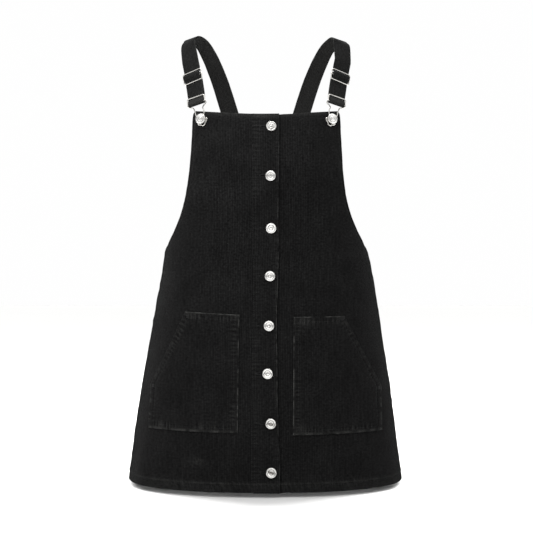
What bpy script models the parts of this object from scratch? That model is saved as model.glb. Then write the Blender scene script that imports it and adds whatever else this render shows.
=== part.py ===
# Corduroy pinafore dress (dungaree dress), filled out as it is worn, with no wearer.
# Millimetres in the tables below, metres in the meshes. +Z up, the front faces -Y, +X is the
# right-hand side seen from the front. The origin lies midway between the two shoulder straps,
# at the height of the undersides of the straps where they cross the shoulders.
import bisect
import math

import bmesh
import bpy
from mathutils import Vector

MM = 0.001

# Cloth
CLOTH = 1.8                # wall of one layer of corduroy
FOLDED = 2.8               # wall where an edge is turned in and stitched
LAYER_GAP = 0.4            # between two layers that lie on each other
SEAM_GAP = 0.3             # between two pieces that meet edge to edge
STRAP_WIDTH = 32.0
STRAP_THICK = 2.6          # the strap is two layers, turned and pressed
STRAP_ROUNDING = 0.9       # of its long edges

# Main heights, below the shoulders
BIB_TOP = -144.0           # at the centre front
BIB_CORNER_LIFT = 10.0     # how far the straps lift the corners of the bib
BIB_HALF = 128.0
LIFT_ENDS = -290.0
BACK_TOP = -210.0
HEM = -783.4
TOP_TURNING = 12.0         # turned-in edge along the bib and the back
HEM_TURNING = 16.0
STEP = 2.0                 # height over which a turning ends

# The body of the dress, one row for each level section:
# height, half width, depth in front, depth behind, squareness (2 = ellipse), sway to the right
SECTIONS = [
    (-100.0, 138.0, 78.0, 90.0, 2.40, 0.0),
    (-145.0, 146.2, 93.0, 99.0, 2.38, 0.0),
    (-190.0, 154.0, 106.0, 103.0, 2.34, 0.0),
    (-245.0, 164.0, 116.5, 102.0, 2.30, -0.8),
    (-310.0, 173.2, 117.5, 96.5, 2.25, -1.4),
    (-375.0, 181.7, 115.0, 94.5, 2.20, -0.8),
    (-400.0, 186.0, 115.8, 96.0, 2.18, 0.6),
    (-440.0, 192.7, 119.0, 103.0, 2.15, 1.0),
    (-540.0, 209.1, 130.5, 122.0, 2.12, -0.4),
    (-615.0, 221.7, 138.0, 134.0, 2.10, -1.1),
    (-690.0, 232.4, 145.0, 142.5, 2.12, -1.9),
    (-740.0, 238.6, 150.0, 147.0, 2.18, -2.0),
    (-783.4, 243.9, 155.0, 150.0, 2.30, -2.0),
]

# Front armhole edge: height, half width of the bib there; its top corner is rounded
BIB_EDGE = [
    (-127.0, 115.0),
    (-133.5, 123.0),
    (-136.0, 127.8),
    (-140.0, 130.4),
    (-150.0, 131.3),
    (-170.0, 131.6),
    (-205.0, 132.7),
    (-240.0, 134.3),
    (-275.0, 138.4),
    (-310.0, 146.6),
    (-344.0, 160.8),
    (-361.0, 170.4),
    (-371.5, 175.6),
    (-378.5, 179.6),
    (-382.0, 182.1),
]

# Back armhole edge: height, half width of the back panel there
BACK_EDGE = [
    (-205.0, 57.0),
    (-212.0, 61.0),
    (-220.0, 62.6),
    (-240.0, 67.0),
    (-275.0, 82.0),
    (-310.0, 105.0),
    (-344.0, 139.0),
    (-361.0, 159.0),
    (-371.5, 170.5),
    (-378.5, 177.6),
    (-382.0, 182.1),
]
ARMHOLE_ROWS = [-100.0, -128.0, -131.0, -134.5, -137.0, -139.0, -142.0, -150.0, -165.0, -182.0]
ARMHOLE_ROWS += [-197.0, -205.0, -208.5, -212.0, -216.0, -224.0, -238.0, -252.0, -266.0, -281.0]
ARMHOLE_ROWS += [-296.0, -310.0, -322.0, -333.0, -344.0, -353.0, -361.0, -367.0, -371.5, -375.5]
ARMHOLE_ROWS += [-378.5, -380.6, -382.0]

# Soft folds that open towards the hem:
# angle round the body (0 front, 90 right side, 180 back), depth, spread in degrees, start height
HEM_FOLDS = [
    (-152.0, -3.2, 10.0, -430.0),
    (-126.0, 3.6, 10.0, -400.0),
    (-104.0, -2.2, 8.0, -520.0),
    (-62.0, 1.9, 9.0, -560.0),
    (-36.0, -1.1, 8.0, -600.0),
    (38.0, -0.9, 9.0, -590.0),
    (64.0, 1.7, 8.0, -540.0),
    (102.0, -2.6, 9.0, -480.0),
    (129.0, 3.1, 11.0, -420.0),
    (157.0, -2.7, 9.0, -450.0),
    (180.0, 3.4, 11.0, -410.0),
]

# Heights of the rows of points that all front pieces share
ROW_HEIGHTS = (
    [BIB_TOP, BIB_TOP - TOP_TURNING, BIB_TOP - TOP_TURNING - STEP]
    + [-180.0, -205.0, -232.0, -260.0, -290.0, -318.0, -345.0, -372.0, -399.0, -427.0]
    + [-457.0, -488.0, -520.0, -553.0, -586.0, -619.0, -652.0, -685.0, -716.0, -744.0]
    + [HEM + HEM_TURNING + STEP, HEM + HEM_TURNING, HEM]
)
BACK_ROW_HEIGHTS = (
    [BACK_TOP, BACK_TOP - TOP_TURNING, BACK_TOP - TOP_TURNING - STEP]
    + [height for height in ROW_HEIGHTS if height < -230.0]
)
FRONT_COLUMNS = 10         # from the placket to the side seam
BACK_COLUMNS = 22
ARMHOLE_COLUMNS = 10
CUT_REACH = 7.0            # how far a cutter stands out on both sides of the cloth

# Button band down the centre front, its buttons and its buttonholes
BAND_LEFT = -24.2
BAND_RIGHT = 23.2
BAND_PROUD = 0.8           # the band's outside stands this far outside the panels
STAND_LEFT = -20.0         # edge of the front that lies under the band
STAND_REACH = 6.0          # how far past the band that front stays level with its edge
BAND_LINES = [BAND_LEFT, STAND_LEFT, -8.0, 8.0, BAND_RIGHT]
# Where the band's outer edge really runs: height, x
BAND_EDGE = [
    (-100.0, 22.2),
    (-208.0, 21.9),
    (-350.0, 21.7),
    (-403.0, 20.2),
    (-443.0, 18.4),
    (-484.0, 17.2),
    (-524.0, 17.3),
    (-560.0, 19.0),
    (-624.0, 19.8),
    (-660.0, 21.4),
    (-704.0, 23.0),
    (-730.0, 24.3),
    (-800.0, 24.6),
]
STAND_BLEND = (30.0, 78.0) # across this stretch the under front comes up level with the other
BUTTON_X = 8.0
BUTTON_HEIGHTS = [-167.7, -253.1, -341.8, -423.3, -507.2, -587.0, -669.8, -750.4]
BUTTON_SHIFTS = [0.1, -0.3, 0.9, -3.1, -4.1, -5.4, 0.8, 1.9]
BUTTON_RADIUS = 8.8
SHANK_RADIUS = 2.6
BUTTONHOLE_RADIUS = 3.1
BUTTONHOLE_LENGTH = 17.0
BUTTONHOLE_SLIT = 0.8

# Patch pockets: half of the outline on the left as seen, x measured from the centre outwards
POCKET_INNER = 46.2
POCKET_MARGIN = 21.0       # the patch is made from panel points further out than this
POCKET_TOP = -488.5
POCKET_BOTTOM = -685.7
# Where the slanted opening starts, and how far that corner stands above the top edge
POCKET_TOP_CORNER = {"left": (139.5, 4.0), "right": (132.5, 0.5)}
POCKET_SIDE = 199.5
POCKET_SIDE_TOP = -611.0   # where the slanted opening ends
POCKET_DROP = {"left": 0.0, "right": 3.6}

# Straps, clips and sliders (across is measured from the centre outwards)
WIRE = 1.05                # radius of the clip and slider wire
WIRE_GAP = 0.3
CLIP_BAR = Vector((121.9, -65.0, -122.5))      # middle of the bar that the strap folds round
STRAP_RISES_TO = Vector((138.9, -14.0, -22.0)) # where the straight front stretch ends
STRAP_FACES = Vector((0.424, -0.835, 0.348))
CLIP_TOP_BAR = 13.4        # distances up the strap from the clip's bar
SLIDER_BARS = (46.4, 57.3, 68.1)
STRAP_STRAIGHT = 92.0
SEWN_END_ANGLE = 118.0     # where the strap's sewn end stops on the slider's middle bar
RAIL = STRAP_WIDTH / 2 + 0.7 + WIRE
FRAME_BEND = 3.2           # bend of the wire at the corners of the clip and the slider
SLEEVE_REACH = 1.9         # half the length of a bar's end that is curled round a rail
SLEEVE_WALL = 0.55
# The clip's rails stand closer: they draw the strap in, and it sits askew between them
CLIP_RAIL_REACH = 16.6
FOLD_NARROW = 0.035        # share of the strap's width that is lost at the fold
FOLD_SKEW = 0.065          # drop of the fold for each step inwards
FOLD_BLEND = (10.0, 26.0)  # distances up the strap between which it comes back to its width
# The rails of the clip below its top corners: across, up, out
CLIP_RAIL = [
    (CLIP_RAIL_REACH, 3.6, 0.0),
    (CLIP_RAIL_REACH, 0.4, 0.0),
    (CLIP_RAIL_REACH, -0.6, -2.6),
    (CLIP_RAIL_REACH - 0.8, -1.2, -4.8),
    (CLIP_RAIL_REACH - 3.2, -1.9, -6.6),
    (CLIP_RAIL_REACH - 6.4, -3.6, -7.2),
]
# Over the shoulder and down the back: across, depth, height, and the way the strap faces there
STRAP_ROUTE = {
    "left": [
        (140.6, -6.0, -9.2, 0.58, -0.51, 0.62),
        (136.9, 2.0, 1.9, 0.30, -0.12, 0.94),
        (130.9, 10.5, 5.3, 0.04, 0.11, 0.99),
        (122.4, 20.0, 1.6, -0.08, 0.34, 0.93),
        (114.7, 29.5, -5.3, -0.23, 0.52, 0.82),
        (108.7, 38.0, -14.4, -0.28, 0.63, 0.72),
        (101.5, 50.0, -27.6, -0.25, 0.73, 0.63),
        (93.0, 62.0, -47.3, -0.21, 0.81, 0.54),
        (85.2, 72.0, -67.8, -0.13, 0.88, 0.44),
        (76.1, 81.0, -96.1, -0.04, 0.94, 0.32),
        (66.3, 87.0, -128.0, 0.03, 0.97, 0.22),
        (55.4, 91.3, -164.0, 0.04, 0.98, 0.14),
    ],
    "right": [
        (135.3, -6.0, -12.8, 0.29, -0.67, 0.67),
        (133.5, 2.0, -1.8, 0.28, -0.14, 0.95),
        (128.6, 10.5, 3.0, 0.07, 0.13, 0.98),
        (121.3, 20.0, 0.0, -0.08, 0.33, 0.93),
        (113.7, 29.5, -6.4, -0.22, 0.52, 0.82),
        (107.4, 38.0, -14.3, -0.29, 0.63, 0.72),
        (100.1, 50.0, -27.3, -0.27, 0.72, 0.63),
        (91.2, 62.0, -46.7, -0.21, 0.80, 0.54),
        (83.1, 72.0, -67.1, -0.16, 0.87, 0.45),
        (73.6, 81.0, -95.3, -0.09, 0.93, 0.33),
        (63.8, 87.0, -127.3, -0.02, 0.97, 0.23),
        (53.5, 91.3, -163.4, 0.01, 0.98, 0.15),
    ],
}
# The sewn end inside the back: across, height
STRAP_END = {
    "left": [(44.5, -200.0), (40.5, -214.0), (34.5, -237.0)],
    "right": [(42.7, -200.0), (38.8, -214.0), (33.0, -237.0)],
}
STRAP_CLEARS_CURVE = 1.0   # a flat strap inside the curved back needs this much more room

CLIP_BUTTON = (112.2, -151.9)                  # across, height on the bib
CLIP_BUTTON_RADIUS = 8.9
CLIP_BUTTON_TURN = 0.5     # how far this button turns from the cloth towards the front
CLIP_BUTTON_FOOT = 1.1     # its shank's foot stands this far clear of the cloth
CLIP_BUTTON_UNDER = 4.9    # from the foot to the underside of the rim
# Hook of the clip: half its outline from the shoulder down, across from the clip's middle line
# and height above the button's centre
HOOK = [
    (8.4, 20.0),
    (8.8, 16.6),
    (8.9, 13.4),
    (8.2, 9.8),
    (6.6, 6.6),
    (5.5, 3.4),
    (5.2, -0.6),
    (4.4, -3.6),
    (3.2, -5.6),
    (4.6, -6.9),
    (6.4, -5.6),
    (7.8, -3.8),
    (9.0, -3.4),
    (9.7, -5.2),
    (8.3, -7.5),
    (6.1, -9.1),
    (4.3, -10.4),
    (3.3, -12.0),
    (1.9, -13.2),
]
HOOK_END = -13.6           # lowest point of the hook, on its middle line
HOOK_OUT = 2.0             # height of the wire's centre above the bib
HOOK_OFFSET = 1.3          # the button sits this far outwards of the clip's middle line
HOOK_TILT = 19.0           # degrees by which the lower end of the hook leans towards the centre


def interpolate(rows, at, column):
    """Value of a column at a height, smooth through the rows, which run downwards."""
    keys = [-row[0] for row in rows]
    at = min(max(-at, keys[0]), keys[-1])
    i = min(max(bisect.bisect_right(keys, at) - 1, 0), len(rows) - 2)
    span = keys[i + 1] - keys[i]
    t = (at - keys[i]) / span
    low, high = rows[i][column], rows[i + 1][column]

    def slope(k):
        if k == 0 or k == len(rows) - 1:
            near = min(max(k, 1), len(rows) - 1)
            return (rows[near][column] - rows[near - 1][column]) / (keys[near] - keys[near - 1])
        before = (rows[k][column] - rows[k - 1][column]) / (keys[k] - keys[k - 1])
        after = (rows[k + 1][column] - rows[k][column]) / (keys[k + 1] - keys[k])
        if before * after <= 0.0:
            return 0.0
        return 2.0 * before * after / (before + after)

    m0, m1 = slope(i) * span, slope(i + 1) * span
    return ((2 * t**3 - 3 * t**2 + 1) * low + (t**3 - 2 * t**2 + t) * m0
            + (3 * t**2 - 2 * t**3) * high + (t**3 - t**2) * m1)


def smoothstep(low, high, value):
    t = min(max((value - low) / (high - low), 0.0), 1.0)
    return t * t * (3.0 - 2.0 * t)


def fold_depth(angle, height):
    """Outward swell of the hem folds at an angle round the body."""
    total = 0.0
    for centre, depth, spread, start in HEM_FOLDS:
        away = (angle - centre + 180.0) % 360.0 - 180.0
        total += depth * math.exp(-(away / spread) ** 2) * smoothstep(-start, -HEM, -height)
    return total


def skin(angle, height):
    """Point on the outside of the dress; angle in degrees, 0 in front, 90 on the right."""
    half = interpolate(SECTIONS, height, 1)
    square = interpolate(SECTIONS, height, 4)
    sway = interpolate(SECTIONS, height, 5)
    s, c = math.sin(math.radians(angle)), math.cos(math.radians(angle))
    depth = interpolate(SECTIONS, height, 2 if c > 0 else 3)
    x = math.copysign(abs(s) ** (2.0 / square), s)
    y = -math.copysign(abs(c) ** (2.0 / square), c)
    swell = fold_depth(angle, height)
    length = math.hypot(half * x, depth * y)
    grow = 1.0 + swell / length
    return Vector((sway + half * x * grow, depth * y * grow, height))


def skin_normal(angle, height):
    """Unit normal of the outside."""
    round_body = skin(angle + 0.5, height) - skin(angle - 0.5, height)
    down = skin(angle, height - 2.0) - skin(angle, height + 2.0)
    normal = down.cross(round_body)
    return normal.normalized()


def skin_at(angle, height, out):
    """Point a given distance outside the skin."""
    return skin(angle, height) + skin_normal(angle, height) * out


def angle_at_x(x, height):
    """Angle of the front point that lies x to the right of the centre."""
    half = interpolate(SECTIONS, height, 1)
    square = interpolate(SECTIONS, height, 4)
    ratio = min(abs(x) / half, 1.0)
    return math.copysign(math.degrees(math.asin(ratio ** (square / 2.0))), x)


def angle_at_depth(depth, height, column):
    """Angle short of the side seam at which the section is this deep."""
    full = interpolate(SECTIONS, height, column)
    square = interpolate(SECTIONS, height, 4)
    return 90.0 - math.degrees(math.asin((depth / full) ** (square / 2.0)))


def seam_angle(height, depth_column):
    """Angle of a panel's edge along the side seam."""
    return angle_at_depth(SEAM_GAP / 2, height, depth_column)


def lifted(height, x):
    """Height of a front row at x: the rows near the top rise towards the bib's corners."""
    share = 1.0 - smoothstep(-BIB_TOP, -LIFT_ENDS, -height)
    return height + BIB_CORNER_LIFT * share * min(abs(x) / BIB_HALF, 1.0) ** 2


def wall_at(height, top):
    """Thickness of a panel: turned in along its top and its hem."""
    turned_top = top - TOP_TURNING - STEP / 2
    turned_hem = HEM + HEM_TURNING + STEP / 2
    if height > turned_top or height < turned_hem:
        return FOLDED
    return CLOTH


def under_level(x):
    """How far the front under the band lies inside the other panels."""
    level = CLOTH + LAYER_GAP
    return -level * (1.0 - smoothstep(STAND_BLEND[0], STAND_BLEND[1], x))


def link(name, mesh, material):
    mesh.materials.append(material)
    piece = bpy.data.objects.new(name, mesh)
    bpy.context.scene.collection.objects.link(piece)
    return piece


def shade(mesh, angle=40.0):
    mesh.shade_smooth()
    mesh.set_sharp_from_angle(angle=math.radians(angle))


def wall_mesh(name, outer, inner):
    """Closed wall between two grids of points, each a list of rows from top to bottom.

    Columns run to the right as seen from outside."""
    rows, columns = len(outer), len(outer[0])
    points = [p * MM for grid in (outer, inner) for row in grid for p in row]
    faces = []

    def index(layer, i, j):
        return layer * rows * columns + i * columns + j

    def quad(a, b, c, d):
        faces.append((a, b, c))
        faces.append((a, c, d))

    for i in range(rows - 1):
        for j in range(columns - 1):
            quad(index(0, i, j), index(0, i + 1, j), index(0, i + 1, j + 1), index(0, i, j + 1))
            faces.append((index(1, i, j), index(1, i + 1, j + 1), index(1, i + 1, j)))
            faces.append((index(1, i, j), index(1, i, j + 1), index(1, i + 1, j + 1)))
    for j in range(columns - 1):
        quad(index(0, 0, j), index(0, 0, j + 1), index(1, 0, j + 1), index(1, 0, j))
        last = rows - 1
        quad(index(0, last, j), index(1, last, j), index(1, last, j + 1), index(0, last, j + 1))
    for i in range(rows - 1):
        quad(index(0, i, 0), index(1, i, 0), index(1, i + 1, 0), index(0, i + 1, 0))
        last = columns - 1
        quad(index(0, i, last), index(0, i + 1, last), index(1, i + 1, last), index(1, i, last))
    mesh = bpy.data.meshes.new(name)
    mesh.from_pydata(points, [], faces)
    mesh.update()
    return mesh


def front_angles(side, height):
    """Angles of the columns of one front piece on a row."""
    outer = seam_angle(height, 2)
    if side < 0:
        start = abs(angle_at_x(BAND_LEFT - SEAM_GAP, height))
        lines = [start + (outer - start) * j / FRONT_COLUMNS for j in range(FRONT_COLUMNS + 1)]
        return [-angle for angle in reversed(lines)]
    under = [angle_at_x(x, height) for x in BAND_LINES[1:]]
    start = angle_at_x(BAND_RIGHT + STAND_REACH, height)
    rest = [start + (outer - start) * j / FRONT_COLUMNS for j in range(FRONT_COLUMNS + 1)]
    return under + rest


def front_grid(side, out, heights=ROW_HEIGHTS, wall=False):
    """Grid of points on a front piece, moved out from its outside, or its inside if wall is set."""
    grid = []
    for height in heights:
        row = []
        for angle in front_angles(side, height):
            x = skin(angle, height).x
            z = lifted(height, x)
            level = under_level(x) if side > 0 else 0.0
            inward = wall_at(height, BIB_TOP) if wall else 0.0
            row.append(skin_at(angle, z, level + out - inward))
        grid.append(row)
    return grid


def armhole_plug(side):
    """Solid that fills an armhole, square to the cloth all round its edge."""
    outer, inner = [], []
    for height in ARMHOLE_ROWS:
        front = angle_at_x(interpolate(BIB_EDGE, height, 1), height)
        back = 180.0 - angle_at_x(interpolate(BACK_EDGE, height, 1), height)
        angles = [side * (front + (back - front) * j / ARMHOLE_COLUMNS)
                  for j in range(ARMHOLE_COLUMNS + 1)]
        if side < 0:
            angles.reverse()
        outer.append([skin_at(angle, height, CUT_REACH) for angle in angles])
        inner.append([skin_at(angle, height, -CUT_REACH) for angle in angles])
    return solid_out(wall_mesh("armhole", outer, inner), "armhole")


def make_front(name, side, material):
    mesh = wall_mesh(name, front_grid(side, 0.0), front_grid(side, 0.0, wall=True))
    front = link(name, mesh, material)
    boolean(front, [armhole_plug(side)], "DIFFERENCE")
    shade(front.data)
    return front


def make_back(material):
    outer, inner = [], []
    for height in BACK_ROW_HEIGHTS:
        edge = seam_angle(height, 3)
        angles = [180.0 - edge + 2.0 * edge * j / BACK_COLUMNS for j in range(BACK_COLUMNS + 1)]
        wall = wall_at(height, BACK_TOP)
        outer.append([skin_at(angle, height, 0.0) for angle in angles])
        inner.append([skin_at(angle, height, -wall) for angle in angles])
    back = link("back", wall_mesh("back", outer, inner), material)
    boolean(back, [armhole_plug(-1), armhole_plug(1)], "DIFFERENCE")
    shade(back.data)
    return back


def boolean(base, cutters, operation):
    """Apply Boolean modifiers to a mesh object and take the helpers away."""
    for cutter in cutters:
        modifier = base.modifiers.new("cut", "BOOLEAN")
        modifier.operation = operation
        modifier.object = cutter
    view = bpy.context.evaluated_depsgraph_get()
    view.update()
    mesh = bpy.data.meshes.new_from_object(base.evaluated_get(view))
    old = base.data
    base.modifiers.clear()
    base.data = mesh
    mesh.name = base.name
    bpy.data.meshes.remove(old)
    for cutter in cutters:
        bpy.data.objects.remove(cutter)
    return base


def band_point(x, height, out):
    z = lifted(height, x)
    return skin_at(angle_at_x(x, height), z, out)


def buttonhole_cutter(x, height):
    """Keyhole through the band: a round end for the shank and a slit to its left."""
    centre = band_point(x, height, 0.0)
    normal = skin_normal(angle_at_x(x, height), height)
    left = Vector((-1.0, 0.0, 0.0))
    left = (left - normal * left.dot(normal)).normalized()
    up = left.cross(normal)
    if up.z < 0:
        up = -up
    outline = []
    opening = math.asin(BUTTONHOLE_SLIT / 2 / BUTTONHOLE_RADIUS)
    steps = 12
    for k in range(steps + 1):
        angle = opening + (2 * math.pi - 2 * opening) * k / steps
        outline.append((BUTTONHOLE_RADIUS * math.cos(angle), BUTTONHOLE_RADIUS * math.sin(angle)))
    outline.append((BUTTONHOLE_LENGTH, -BUTTONHOLE_SLIT / 2))
    outline.append((BUTTONHOLE_LENGTH, BUTTONHOLE_SLIT / 2))
    count = len(outline)
    points = [(centre + left * u + up * v + normal * side * CUT_REACH) * MM
              for side in (-1, 1) for u, v in outline]
    faces = [tuple(range(count)), tuple(reversed(range(count, 2 * count)))]
    for k in range(count):
        j = (k + 1) % count
        faces.append((k, k + count, j + count, j))
    mesh = bpy.data.meshes.new("buttonhole")
    mesh.from_pydata(points, [], faces)
    return solid_out(mesh, "buttonhole")


def solid_out(mesh, name):
    """Helper object with its faces turned outwards."""
    shape = bmesh.new()
    shape.from_mesh(mesh)
    bmesh.ops.recalc_face_normals(shape, faces=shape.faces)
    shape.to_mesh(mesh)
    shape.free()
    helper = bpy.data.objects.new(name, mesh)
    bpy.context.scene.collection.objects.link(helper)
    return helper


def make_band(material):
    outer, inner = [], []
    for height in ROW_HEIGHTS:
        lines = BAND_LINES[:-1] + [interpolate(BAND_EDGE, height, 1)]
        outer.append([band_point(x, height, BAND_PROUD) for x in lines])
        inner.append([band_point(x, height, -CLOTH) for x in lines])
    band = link("button_band", wall_mesh("button_band", outer, inner), material)
    holes = [buttonhole_cutter(BUTTON_X + shift, height)
             for height, shift in zip(BUTTON_HEIGHTS, BUTTON_SHIFTS)]
    boolean(band, holes, "DIFFERENCE")
    shade(band.data)
    return band


def make_pocket(name, side, material):
    """A patch made from the panel's points, moved out, and cut to the pocket's outline."""
    word = "left" if side < 0 else "right"
    drop = POCKET_DROP[word]
    corner_x, corner_lift = POCKET_TOP_CORNER[word]
    top, bottom = POCKET_TOP - drop, POCKET_BOTTOM - drop
    first = max(i for i, height in enumerate(ROW_HEIGHTS) if height > top + 1.0)
    last = min(i for i, height in enumerate(ROW_HEIGHTS) if height < bottom - 1.0)
    heights = ROW_HEIGHTS[first:last + 1]
    outer = front_grid(side, LAYER_GAP + CLOTH, heights)
    inner = front_grid(side, LAYER_GAP, heights)
    outline = [
        (POCKET_INNER, bottom),
        (POCKET_INNER, top),
        (corner_x, top + corner_lift),
        (POCKET_SIDE, POCKET_SIDE_TOP - drop),
        (POCKET_SIDE + 1.0, bottom),
    ]
    keep = [j for j in range(len(outer[0])) if abs(outer[0][j].x) > POCKET_MARGIN]
    outer = [[row[j] for j in keep] for row in outer]
    inner = [[row[j] for j in keep] for row in inner]
    pocket = link(name, wall_mesh(name, outer, inner), material)
    points = [Vector((side * x, y, z)) * MM for y in (-220.0, 0.0) for x, z in outline]
    count = len(outline)
    faces = [tuple(range(count)), tuple(reversed(range(count, 2 * count)))]
    faces += [(k, k + count, (k + 1) % count + count, (k + 1) % count) for k in range(count)]
    mesh = bpy.data.meshes.new("pocket_outline")
    mesh.from_pydata(points, [], faces)
    boolean(pocket, [solid_out(mesh, "pocket_outline")], "INTERSECT")
    shade(pocket.data)
    return pocket


def tube(points, radius, sides=6, closed=False):
    """Round wire along points, as a mesh."""
    count = len(points)
    mesh_points, faces = [], []
    reference = None
    for k in range(count):
        if closed:
            along = points[(k + 1) % count] - points[k - 1]
        else:
            along = points[min(k + 1, count - 1)] - points[max(k - 1, 0)]
        along = along.normalized()
        if reference is None:
            reference = along.orthogonal().normalized()
        else:
            reference = (reference - along * reference.dot(along)).normalized()
        across = along.cross(reference)
        for s in range(sides):
            angle = 2.0 * math.pi * s / sides
            ring = reference * math.cos(angle) + across * math.sin(angle)
            mesh_points.append((points[k] + ring * radius) * MM)
    for k in range(count if closed else count - 1):
        j = (k + 1) % count
        shift = 0
        if closed and j == 0:
            first, last = mesh_points[0:sides], mesh_points[k * sides:(k + 1) * sides]
            shift = min(range(sides), key=lambda d: sum(
                (last[s] - first[(s + d) % sides]).length for s in range(sides)))
        for s in range(sides):
            t = (s + 1) % sides
            faces.append((k * sides + s, k * sides + t,
                          j * sides + (t + shift) % sides, j * sides + (s + shift) % sides))
    if not closed:
        faces.append(tuple(reversed(range(sides))))
        faces.append(tuple((count - 1) * sides + s for s in range(sides)))
    mesh = bpy.data.meshes.new("wire")
    mesh.from_pydata(mesh_points, [], faces)
    return mesh


def spline(points, steps, closed=False):
    """Catmull-Rom curve through points."""
    curve = []
    count = len(points)
    for k in range(count if closed else count - 1):
        if closed:
            p0, p1, p2, p3 = (points[(k + d) % count] for d in (-1, 0, 1, 2))
        else:
            p1, p2 = points[k], points[k + 1]
            p0 = points[k - 1] if k else p1 * 2 - p2
            p3 = points[k + 2] if k + 2 < count else p2 * 2 - p1
        for step in range(steps):
            t = step / steps
            curve.append(0.5 * (2 * p1 + (p2 - p0) * t + (2 * p0 - 5 * p1 + 4 * p2 - p3) * t**2
                                + (3 * p1 - 3 * p2 + p3 - p0) * t**3))
    if not closed:
        curve.append(points[-1].copy())
    return curve


def thread(wheels, step=24.0):
    """Line of a strap threaded round bars, in (distance up, distance out).

    Each wheel is (up, out, radius, turn): turn is 1 where the bar lies to the left of the way
    along the strap and -1 where it lies to the right. A radius of 0 is a plain point."""
    leaves, meets = [], []
    for (s0, n0, r0, turn0), (s1, n1, r1, turn1) in zip(wheels, wheels[1:]):
        length = math.hypot(s1 - s0, n1 - n0)
        heading = math.atan2(n1 - n0, s1 - s0) - math.asin((turn1 * r1 - turn0 * r0) / length)
        left = (-math.sin(heading), math.cos(heading))
        leaves.append((s0 - turn0 * r0 * left[0], n0 - turn0 * r0 * left[1]))
        meets.append((s1 - turn1 * r1 * left[0], n1 - turn1 * r1 * left[1]))
    line = [(wheels[0][0], wheels[0][1])] if wheels[0][2] == 0.0 else []
    for k, (s, n, radius, turn) in enumerate(wheels):
        if radius == 0.0:
            if k:
                line.append((s, n))
            continue
        if k == 0:
            start = math.radians(SEWN_END_ANGLE)
        else:
            start = math.atan2(meets[k - 1][1] - n, meets[k - 1][0] - s)
        end = math.atan2(leaves[k][1] - n, leaves[k][0] - s)
        sweep = (end - start) * turn % (2.0 * math.pi)
        if sweep > math.radians(350.0):
            sweep = 0.0
        parts = max(1, math.ceil(math.degrees(sweep) / step))
        for part in range(parts + 1):
            angle = start + turn * sweep * part / parts
            line.append((s + radius * math.cos(angle), n + radius * math.sin(angle)))
    return line


def strap_frame(side):
    """Origin and axes of the straight front stretch: up it, out of it, and inwards across it."""
    flip = Vector((side, 1.0, 1.0))
    origin = CLIP_BAR * flip
    up = ((STRAP_RISES_TO - CLIP_BAR) * flip).normalized()
    out = STRAP_FACES * flip
    out = (out - up * out.dot(up)).normalized()
    inwards = up.cross(out) if side < 0 else out.cross(up)
    return origin, up, out, inwards


def back_strap_end(side, across, height):
    """Strap's middle on the inside of the back panel, and the way it faces."""
    square = interpolate(SECTIONS, height, 4)
    half = interpolate(SECTIONS, height, 1)
    turn = math.degrees(math.asin((across / half) ** (square / 2.0)))
    angle = side * (180.0 - turn)
    inward = FOLDED + LAYER_GAP + STRAP_CLEARS_CURVE + STRAP_THICK / 2
    return skin_at(angle, height, -inward), skin_normal(angle, height)


def strap_line(side):
    """Middle line of a strap from its sewn end to its end inside the back, with its facing."""
    word = "left" if side < 0 else "right"
    origin, up, out, inwards = strap_frame(side)
    near = WIRE + WIRE_GAP + STRAP_THICK / 2
    far = near + STRAP_THICK + WIRE_GAP
    low, middle, high = SLIDER_BARS
    wheels = [
        (middle, 0.0, near, -1),
        (low, 0.0, far, -1),
        (CLIP_TOP_BAR, 0.0, far, -1),
        (0.0, 0.0, near, -1),
        (CLIP_TOP_BAR, 0.0, near, 1),
        (low, 0.0, near, 1),
        (middle, 0.0, far, -1),
        (high, 0.0, near, 1),
        (STRAP_STRAIGHT, 0.0, 0.0, 1),
    ]
    front = [origin + up * s + out * n for s, n in thread(wheels)]
    line = [(point, None) for point in front[:-1]]
    flip = Vector((side, 1.0, 1.0))
    stations = [(origin + up * (STRAP_STRAIGHT - 12.0), out), (origin + up * STRAP_STRAIGHT, out)]
    stations += [(Vector(row[:3]) * flip, Vector(row[3:]) * flip) for row in STRAP_ROUTE[word]]
    stations += [back_strap_end(side, across, height) for across, height in STRAP_END[word]]
    steps = 3
    places = spline([place for place, facing in stations], steps)
    facings = spline([facing for place, facing in stations], steps)
    line += list(zip(places, facings))[steps:]
    return line, inwards


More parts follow.
